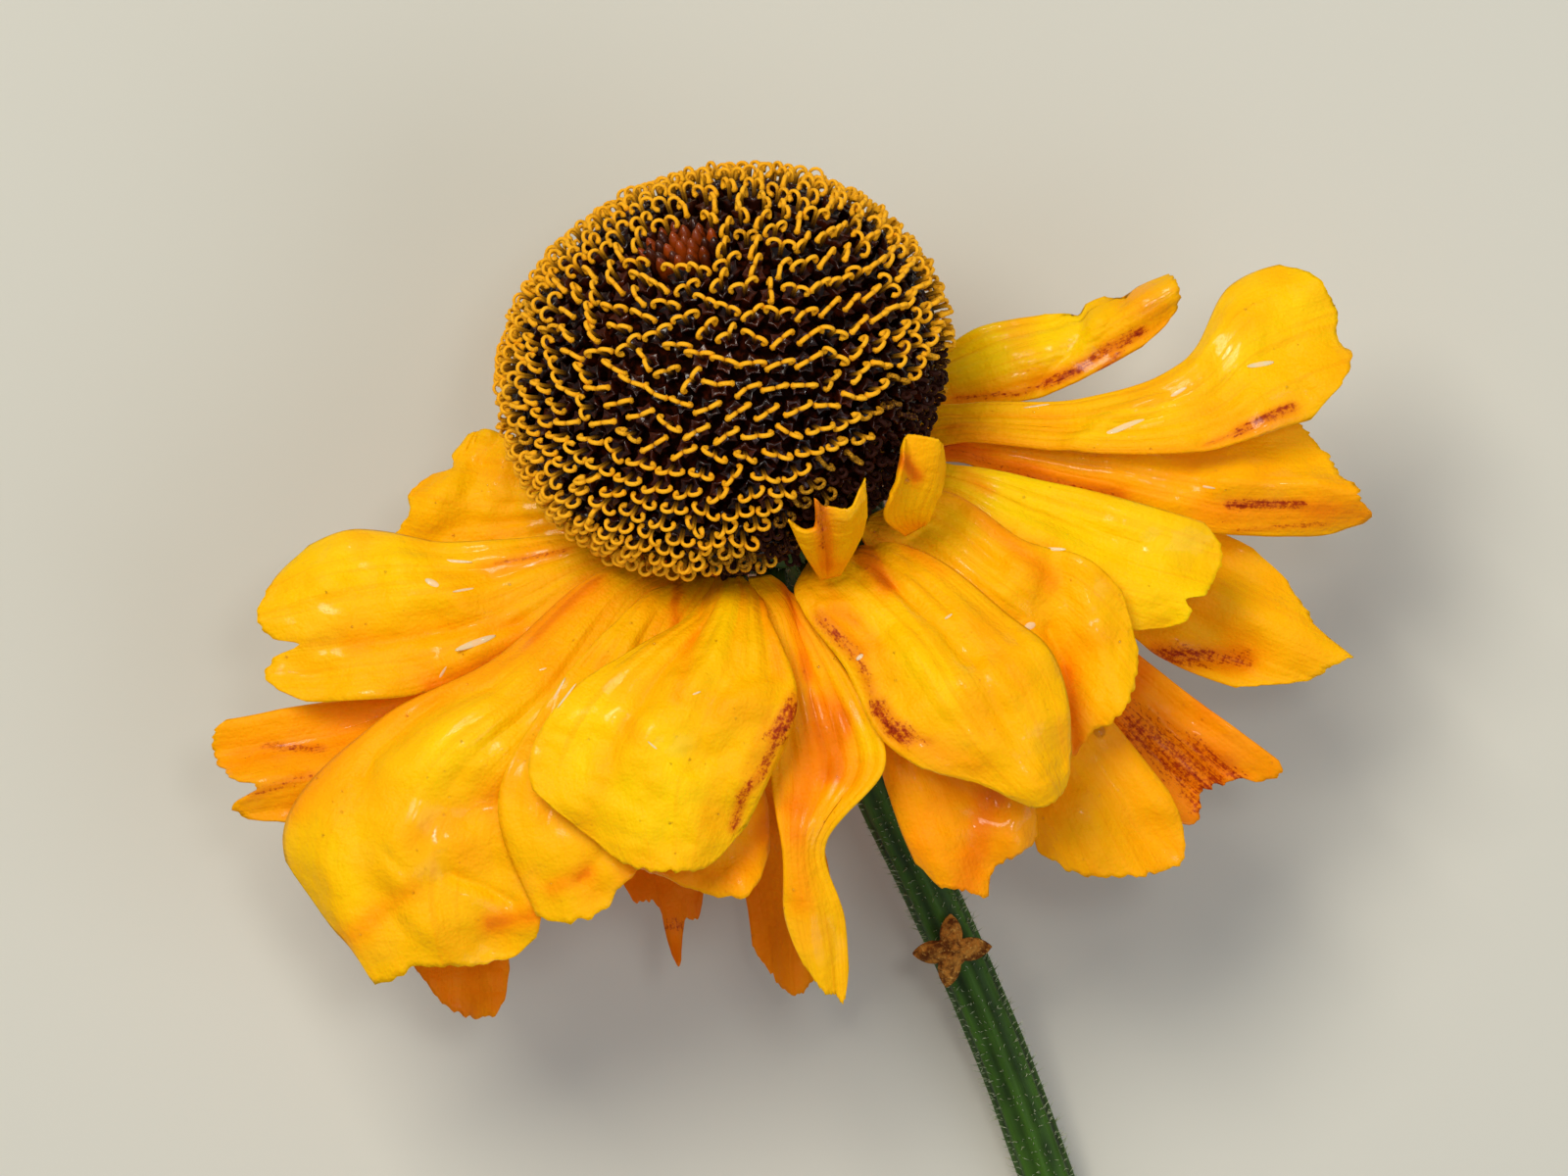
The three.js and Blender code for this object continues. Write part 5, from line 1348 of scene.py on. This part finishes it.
    def styles(self, material: bpy.types.Material) -> bpy.types.Object:
        """Makes the styles: a post that parts into two branches, each curled down like a horn.

        Args:
            material: Their finish.

        Returns:
            The piece.
        """
        draw = np.random.default_rng(self.seed + 2)
        shown = ~self.closed()
        feet, outward, along = self.feet[shown], self.outward[shown], self.along[shown]
        wither = self.wither[shown]
        count = len(feet)
        along = np.repeat(along, 2, axis=0) * np.tile([1.0, -1.0], count)[:, None]
        feet = np.repeat(feet, 2, axis=0)
        outward = np.repeat(outward, 2, axis=0)
        wither = np.repeat(wither, 2)
        total = 2 * count
        veer = np.radians(draw.normal(0, 9, total) + wither * draw.normal(0, 40, total))[:, None]
        beside = np.cross(outward, along)
        along = unit(np.cos(veer) * along + np.sin(veer) * beside)
        beside = np.cross(outward, along)
        radius = self.branch_radius * draw.uniform(0.85, 1.12, total) * (1 - 0.3 * wither)
        height = STYLE_HEIGHT + self.style_rise - self.branch_radius - 0.12
        height = height * (1 - 0.3 * wither) + draw.normal(0, 0.05, total)
        curl = np.radians(draw.uniform(195, 265, total) + 60 * wither)
        steps = self.branch_steps
        share = np.linspace(0, 1, steps)
        bend = np.maximum(0, (share - 0.12) / 0.88)[None, :] * curl[:, None]
        post = np.minimum(1, share / 0.12)[None, :]
        sideways = 0.05 + radius[:, None] * (1 - np.cos(bend))
        upright = height[:, None] + radius[:, None] * np.sin(bend) - 0.75 * (1 - post)
        centre = (feet[:, None] + along[:, None] * sideways[..., None]
                  + outward[:, None] * upright[..., None])
        flat = (-np.cos(bend)[..., None] * along[:, None]
                + np.sin(bend)[..., None] * outward[:, None])
        flare = 1 + 0.55 * smoothstep(0.72, 0.95, share) - 0.25 * smoothstep(0.95, 1.0, share)
        flare = flare * np.where(share < 0.12, 0.8, 1.0)
        angle = 2 * np.pi * np.arange(self.branch_sides) / self.branch_sides
        wide = self.branch_width / 2 * flare[None, :, None, None] * np.cos(angle)[None, None, :, None]
        deep = self.branch_depth / 2 * flare[None, :, None, None] * np.sin(angle)[None, None, :, None]
        shape = (centre[:, :, None] + wide * beside[:, None, None] + deep * flat[:, :, None])
        shape = shape.reshape(total, -1, 3)
        sides = self.branch_sides
        quads = tube_faces(steps, sides)
        ends = np.stack([np.arange(sides)[::-1], np.arange(sides) + (steps - 1) * sides])
        points, walls = scattered(shape, quads)
        caps = scattered(shape, ends)[1]
        each = steps * sides
        # painted shade: near 1 at the foot of each post, down among the florets, and 0 from a third of
        # its length on
        depth = np.tile(np.repeat(smoothstep(0.3, 0.0, share), sides), total)
        return make_piece("disc_styles", points, [walls, caps], material, ("disc",),
                          {"wither": np.repeat(wither, each), "depth": depth})

    def build(self) -> None:
        """Makes the core, the florets, the buds and the styles."""
        dark = FloretFinish().make()
        self.core(FloretFinish(name="core_matt_dark", roughness=0.9, gloss=0.0).make())
        self.dark_florets(dark)
        self.buds(dark)
        self.styles(StyleFinish().make())


@dataclass
class Stem:
    """The stem with its receptacle and bracts, and its fine hairs."""

    ribs: int = 8
    rib_depth: float = 0.12
    steps: int = 220
    sides: int = 72
    bracts: int = 12
    hairs: int = 5200
    hair_length: float = 0.42
    seed: int = 31

    def route(self) -> np.ndarray:
        """Returns the stem's middle line, from the receptacle's top to the cut end."""
        levels = (-6.6, -7.4, -8.2, -9.4, -11.2)
        start = [on_ring(0.0, 0.0, level) for level in levels]
        bends = [(4.7, -12.9, -9.0), (6.5, -17.5, -11.2), (8.5, -21.6, -13.1),
                 (10.3, -25.5, -14.7), (12.1, -29.8, -16.3), (13.7, -34.2, -17.55),
                 (15.3, -38.6, -18.35), (16.7, -43.0, -18.8), (18.0, -47.4, -18.85),
                 (19.3, -51.8, -18.85), (20.6, -56.2, -18.85)]
        return np.array([*start, *bends])

    def radii(self) -> np.ndarray:
        """Returns the stem's radius at each point of the route."""
        shares = (1, 0.95, 0.7, 0.44, 0.31)
        wide = [share * RECEPTACLE_RADIUS for share in shares]
        return np.array(wide + [STEM_RADIUS] * (len(self.route()) - len(wide)))

    def skin(self) -> tuple[np.ndarray, np.ndarray, np.ndarray, np.ndarray]:
        """Gives the stem's skin.

        Returns:
            The points as steps by sides, their normals, the height of the ribs, and the place
            round and along the stem in mm.
        """
        share = np.linspace(0, 1, self.steps)
        middle = through(self.route(), share)
        radius = through(self.radii()[:, None], share)[:, 0]
        tangent = unit(np.gradient(middle, axis=0))
        side = unit(np.cross(UP, tangent))
        over = np.cross(tangent, side)
        turn = 2 * np.pi * np.arange(self.sides) / self.sides
        ridge = 0.5 + 0.5 * np.cos(self.ribs * turn)
        length = np.concatenate([[0], np.cumsum(np.linalg.norm(np.diff(middle, axis=0), axis=1))])
        wobble = Ripple(self.seed, 4.0).at(length, 0 * length)
        shape = radius[:, None] * (1 - self.rib_depth * (1 - ridge[None])) * (1 + 0.012 * wobble[:, None])
        outward = (np.cos(turn)[None, :, None] * side[:, None]
                   + np.sin(turn)[None, :, None] * over[:, None])
        points = middle[:, None] + outward * shape[..., None]
        points[..., 2] = np.maximum(points[..., 2], -DISC_MIDDLE[2] + 0.005)
        grain = np.stack([np.broadcast_to(STEM_RADIUS * turn, shape.shape),
                          np.broadcast_to(length[:, None], shape.shape),
                          np.zeros(shape.shape)], -1)
        return points, outward, np.broadcast_to(ridge, shape.shape), grain

    def build(self) -> None:
        """Makes the stem, its bracts and its hairs."""
        green = StemFinish().make()
        points, outward, ridge, grain = self.skin()
        flat = points.reshape(-1, 3)
        both = np.concatenate([flat, [points[0].mean(0)], [points[-1].mean(0)]])
        marks = {"ridge": np.append(ridge.ravel(), [0.2, 0.2]),
                 "blade": np.concatenate([grain.reshape(-1, 3), np.zeros((2, 3))])}
        faces = [tube_faces(self.steps, self.sides), end_faces(self.steps, self.sides)]
        make_piece("stem_skin", both, faces, green, ("stem",), marks)
        self.build_bracts(green)
        self.build_hairs(points, outward)

    def build_bracts(self, material: bpy.types.Material) -> None:
        """Makes the narrow bracts that bend back along the stem.

        Args:
            material: Their finish.
        """
        line = np.array([[2.9, -7.9, 1.3, 0.6], [4.1, -8.6, 1.3, 0.5], [4.2, -9.8, 1.1, 0.4],
                         [3.6, -11.4, 0.8, 0.3], [3.0, -13.0, 0.2, 0.15]])
        steps, sides = 26, 12
        degrees = 360 * (np.arange(self.bracts) + 0.4) / self.bracts
        at = through(line, np.linspace(0, 1, steps))
        turn = 2 * np.pi * np.arange(sides) / sides
        shapes = []
        for degree in degrees:
            middle = on_ring(np.full(steps, degree), at[:, 0], at[:, 1])
            tangent = unit(np.gradient(middle, axis=0))
            across = ring_tangent(degree)
            face = unit(np.cross(tangent, across))
            rib = 1 + 0.25 * np.exp(-((np.cos(turn) / 0.25) ** 2))
            wide = at[:, 2][:, None, None] / 2 * np.cos(turn)[None, :, None] * across
            deep = (at[:, 3][:, None] / 2 * (np.sin(turn) * rib)[None])[..., None] * face[:, None]
            shapes.append((middle[:, None] + wide + deep).reshape(-1, 3))
        shape = np.stack(shapes)
        quads = tube_faces(steps, sides)
        ends = np.stack([np.arange(sides)[::-1], np.arange(sides) + (steps - 1) * sides])
        points, walls = scattered(shape, quads)
        caps = scattered(shape, ends)[1]
        round_place = np.tile(np.tile(np.cos(turn), steps), self.bracts)
        along_place = np.tile(np.repeat(np.arange(steps) * 0.2, sides), self.bracts)
        marks = {"ridge": np.full(len(points), 0.4),
                 "blade": np.stack([round_place, along_place, 0 * along_place], -1)}
        make_piece("stem_bracts", points, [walls, caps], material, (), marks)

    def build_hairs(self, skin: np.ndarray, outward: np.ndarray) -> None:
        """Scatters fine hairs over the skin.

        Args:
            skin: The skin's points as steps by sides.
            outward: The skin's normals.
        """
        draw = np.random.default_rng(self.seed + 1)
        step = draw.integers(14, self.steps - 1, self.hairs)
        side = draw.integers(0, self.sides, self.hairs)
        root = skin[step, side]
        stem_way = unit(skin[step - 1, side] - skin[step, side])
        lean = unit(outward[step, side] + 0.5 * stem_way + draw.normal(0, 0.25, (self.hairs, 3)))
        lowest = root[:, 2] + np.minimum(0, lean[:, 2]) * 1.3 * self.hair_length
        clear = lowest > -DISC_MIDDLE[2] + 0.08
        make_hairs("stem_hairs", root[clear], lean[clear], self.hair_length, draw,
                   HairFinish("stalk_hair", "#6F8A4A", "#D8DCC0").make(), 0.018)


def make_hairs(name: str, root: np.ndarray, lean: np.ndarray, length: float,
               draw: np.random.Generator, material: bpy.types.Material, width: float) -> None:
    """Makes many fine hairs as slim three-sided spikes with a slight bend.

    Args:
        name: The piece's name.
        root: Where each hair starts.
        lean: Which way each hair points.
        length: The usual length in mm.
        draw: The source of chance.
        material: Their finish.
        width: Half the width at the root in mm.
    """
    count = len(root)
    reach = length * draw.uniform(0.4, 1.2, count)
    side = unit(np.cross(lean, draw.normal(0, 1, (count, 3))))
    other = np.cross(lean, side)
    turn = 2 * np.pi * np.arange(3) / 3
    bow = draw.normal(0, 0.12, count) * reach
    rings = []
    for share, size in ((-0.05, 1.0), (0.55, 0.7)):
        middle = root + lean * (reach * share)[:, None] + side * (bow * share)[:, None]
        ring = (middle[:, None] + width * size
                * (np.cos(turn)[None, :, None] * side[:, None]
                   + np.sin(turn)[None, :, None] * other[:, None]))
        rings.append(ring)
    tip = (root + lean * reach[:, None] - side * (bow * 0.4)[:, None])[:, None]
    shape = np.concatenate([*rings, tip], 1)
    faces = [(0, 1, 4), (0, 4, 3), (1, 2, 5), (1, 5, 4), (2, 0, 3), (2, 3, 5),
             (3, 4, 6), (4, 5, 6), (5, 3, 6), (2, 1, 0)]
    points, triangles = scattered(shape, np.array(faces))
    marks = {"reach": np.tile([0, 0, 0, 0.6, 0.6, 0.6, 1.0], count)}
    make_piece(name, points, [triangles], material, (), marks)


@dataclass
class WitheredScrap:
    """A shrivelled four-armed scrap of plant that lies across the stem."""

    middle: tuple[float, float, float] = (9.6, -24.5, -12.45)
    arms: tuple[tuple[float, float], ...] = ((6, 1.75), (92, 1.6), (184, 1.7), (262, 1.6))
    waist: float = 0.7
    rings: int = 26
    steps: int = 128

    def outline(self, degrees: np.ndarray) -> np.ndarray:
        """Returns the scrap's reach in each direction."""
        reach = np.full(degrees.shape, self.waist)
        for direction, length in self.arms:
            apart = np.abs((degrees - direction + 540) % 360 - 180)
            arm = self.waist + (length - self.waist) * np.maximum(0, 1 - apart / 42)
            reach = np.maximum(reach, arm)
        return reach

    def build(self) -> None:
        """Makes the scrap as a crinkled shell in place of its solid."""
        degrees = 360 * np.arange(self.steps) / self.steps
        share = np.linspace(0.02, 1, self.rings)
        radius = share[:, None] * self.outline(degrees)[None]
        turn = np.radians(degrees)[None]
        x, y = radius * np.cos(turn), radius * np.sin(turn)
        dent = Ripple(5, 0.7).at(x, y) * 0.07 + Ripple(6, 0.25).at(x, y) * 0.03
        trough = 0.35 - 0.16 * radius**2
        curl = 0.12 * smoothstep(1.2, 1.7, radius)
        top = trough + 0.52 - 0.30 * share[:, None] ** 2 + dent + curl
        bottom = trough + 0.02 + 0.10 * share[:, None] + 0.4 * dent + curl
        middle = np.array(self.middle)
        above = middle + np.stack([x, y, top], -1)
        below = middle + np.stack([x, y, np.minimum(bottom, top - 0.06)], -1)
        loops = np.concatenate([above, below[::-1]])
        points = loops.reshape(-1, 3)
        points = np.concatenate([points, [above[0].mean(0)], [below[0].mean(0)]])
        faces = [tube_faces(len(loops), self.steps)[:, ::-1],
                 end_faces(len(loops), self.steps)[:, ::-1]]
        make_piece("dry_scrap_skin", points, faces, WitheredFinish().make(),
                   ("dry_scrap",))


@dataclass
class Dew:
    """Water on the rays: a few drops and beads, and pale painted highlights laid where a film of water
    would glint.

    Each mark is its place seen from above, half its length and width in mm, and the direction
    it runs in degrees.
    """

    # painted highlights: the pale flecks that stand for glints of film
    painted_glints: tuple[tuple[float, float, float, float, float], ...] = (
        (-12.2, -8.8, 0.34, 0.18, -30), (-11.3, -7.9, 0.8, 0.08, -6), (-10.9, -9.1, 0.5, 0.07, 20),
        (-10.4, -11.3, 0.95, 0.2, 28), (-11.8, -12.6, 0.4, 0.07, 60), (-7.0, -13.4, 0.75, 0.07, 62),
        (-6.6, -13.5, 0.7, 0.06, 65), (-7.6, -12.4, 0.5, 0.05, 10), (12.7, -10.6, 0.26, 0.2, 20),
        (13.7, -7.4, 0.5, 0.1, -5), (16.6, -2.3, 1.5, 0.16, 24), (18.8, -0.9, 0.5, 0.1, 30),
        (22.3, 0.3, 0.6, 0.14, 12), (13.2, -1.4, 0.8, 0.07, 5), (-3.0, -15.6, 0.3, 0.05, -40),
        (-1.2, -13.4, 0.2, 0.05, 20), (9.3, -10.2, 0.22, 0.07, 50), (20.0, -4.8, 0.5, 0.06, -8),
        (5.6, -11.9, 0.18, 0.12, 40))
    drops: tuple[tuple[float, float, float], ...] = ((15.6, -15.0, 0.27), (7.55, -4.55, 0.16))
    beads: int = 260
    bead_places: tuple[tuple[float, float], ...] = ((-19, 26), (-24, 4))   # across and along
    steepest: float = 0.35       # least upright share of a face that water stays on
    seed: int = 71

    def build(self, rays: list[bpy.types.Object]) -> None:
        """Lays the water on the rays.

        Args:
            rays: The blades that it can lie on.
        """
        draw = np.random.default_rng(self.seed)
        # painted highlights: pale flecks, flatter than drops, where film on the rays would catch the
        # light
        painted_glints = [(x, y, a, 0.8 * b, turn, 0.3 * b) for x, y, a, b, turn in self.painted_glints]
        painted_glint_finish = WaterFinish("painted_glint_pale", "#FFF2C4", cover=0.6, clear=0.0)
        self.lay("dew_painted_glints", painted_glints, rays, painted_glint_finish.make())
        drops = [(x, y, r, r, 0.0, 0.8 * r) for x, y, r in self.drops]
        for _ in range(self.beads):
            size = 0.035 + 0.05 * draw.random() ** 2
            x, y = (draw.uniform(*span) for span in self.bead_places)
            drops.append((x, y, size, size * draw.uniform(0.6, 1.0), draw.uniform(0, 180),
                          0.6 * size))
        self.lay("dew_drops", drops, rays, WaterFinish().make())

    def lay(self, name: str, marks: list[tuple[float, ...]], rays: list[bpy.types.Object],
            material: bpy.types.Material) -> None:
        """Lays lens-shaped bodies of water on the blades under their marks.

        Args:
            name: The piece's name.
            marks: Place, half length, half width, direction and height of each.
            rays: The blades that it can lie on.
            material: Their finish.
        """
        scene = bpy.context.scene
        graph = bpy.context.evaluated_depsgraph_get()
        names = {ray.name for ray in rays}
        corners, rings = 16, 6
        angle = 2 * np.pi * np.arange(corners) / corners
        shapes = []
        for x, y, half_length, half_width, degrees, height in marks:
            eye = np.array([EYE_ACROSS, EYE_ALONG, EYE_HEIGHT])
            aim = unit(np.array([x, y, 0.0]) - eye)
            hit, place, normal, _, found, _ = scene.ray_cast(
                graph, ((eye + DISC_MIDDLE) * MM).tolist(), aim.tolist())
            if not hit or found.name not in names or normal.z < self.steepest:
                continue
            foot = np.array(place) / MM - DISC_MIDDLE
            up = np.array(normal)
            way = np.array([math.cos(math.radians(degrees)), math.sin(math.radians(degrees)), 0])
            first = unit(way - up * way.dot(up))
            second = np.cross(up, first)
            loops = []
            for k in range(rings):
                rise = (k / (rings - 1)) * np.pi * 0.47
                flat = (np.cos(angle)[:, None] * first * half_length
                        + np.sin(angle)[:, None] * second * half_width) * math.cos(rise)
                loops.append(foot + flat + up * (height * math.sin(rise) - 0.25 * height))
            shapes.append(np.concatenate([*loops, [loops[0].mean(0)], [loops[-1].mean(0)]]))
        points, walls = scattered(np.stack(shapes), tube_faces(rings, corners))
        caps = scattered(np.stack(shapes), end_faces(rings, corners))[1]
        make_piece(name, points, [walls, caps], material)


@dataclass
class Studio:
    """A plain pale floor, soft lights and the photograph's view."""

    floor_size: float = 3000.0
    floor_colour: str = "#CFCFC4"
    sky: str = "#E8ECF2"
    sky_strength: float = 0.32

    def build(self) -> None:
        """Makes the floor, the lights and the camera."""
        self.floor()
        self.light("key", (-130, 170, 420), 190, 1.6, "#FFF6E8")
        self.light("fill", (260, -160, 380), 320, 0.5, "#F2F6FF")
        self.light("glint", (60, 40, 560), 60, 0.3, "#FFFFFF")
        self.surroundings()
        self.camera()

    def floor(self) -> None:
        """Makes the floor."""
        half = self.floor_size * MM / 2
        mesh = bpy.data.meshes.new("floor")
        mesh.from_pydata([(-half, -half, 0), (half, -half, 0), (half, half, 0), (-half, half, 0)],
                         [], [(0, 1, 2, 3)])
        material, tree = new_material("floor_matt")
        shader = add_node(tree, "BsdfPrincipled", {"Base Color": linear(self.floor_colour),
                                                   "Roughness": 0.9})
        add_node(tree, "OutputMaterial", {"Surface": shader.outputs[0]})
        mesh.materials.append(material)
        floor = bpy.data.objects.new("floor", mesh)
        bpy.context.scene.collection.objects.link(floor)

    def light(self, name: str, place: tuple[float, float, float], size: float, power: float,
              colour: str) -> None:
        """Adds a soft square light that faces the disc.

        Args:
            name: Its name.
            place: Where it is, in mm from the middle of the disc.
            size: Its side in mm.
            power: In watts.
            colour: Its tint.
        """
        data = bpy.data.lights.new(name, "AREA")
        data.shape = "SQUARE"
        data.size = size * MM
        data.energy = power
        data.color = linear(colour)[:3]
        lamp = bpy.data.objects.new(name, data)
        bpy.context.scene.collection.objects.link(lamp)
        spot = (np.array(place) + DISC_MIDDLE) * MM
        from_lamp = DISC_MIDDLE * MM - spot
        lamp.location = spot.tolist()
        lamp.rotation_euler = Vector(from_lamp.tolist()).to_track_quat("-Z", "Y").to_euler()

    def surroundings(self) -> None:
        """Gives the studio its even pale surroundings."""
        world = bpy.data.worlds.new("studio")
        world.use_nodes = True
        background = world.node_tree.nodes["Background"]
        background.inputs["Color"].default_value = linear(self.sky)
        background.inputs["Strength"].default_value = self.sky_strength
        bpy.context.scene.world = world
        bpy.context.scene.view_settings.view_transform = "Standard"

    def camera(self) -> None:
        """Puts the camera where the photograph was taken from."""
        data = bpy.data.cameras.new("camera")
        data.sensor_width = FILM_WIDTH
        data.lens = FILM_WIDTH * EYE_HEIGHT / FIELD_WIDTH
        camera = bpy.data.objects.new("camera", data)
        bpy.context.scene.collection.objects.link(camera)
        eye = np.array([EYE_ACROSS, EYE_ALONG, EYE_HEIGHT]) + DISC_MIDDLE
        camera.location = (eye * MM).tolist()
        bpy.context.scene.camera = camera


def main() -> None:
    """Builds the flower and its studio in order."""
    logging.basicConfig(level=logging.INFO, format="%(message)s")
    tissue = RayFinish().make()
    rays = [RayFloret(form, seed).build(tissue) for seed, form in enumerate(RAYS, 1)]
    rays += [RayFloret(form, seed, columns=36, rows=48, crumple=0.06).build(tissue)
             for seed, form in enumerate(STUNTED_RAYS, 201)]
    Disc().build()
    Stem().build()
    WitheredScrap().build()
    bpy.context.view_layer.update()
    Dew().build(rays)
    Studio().build()


if __name__ == "__main__":
    main()
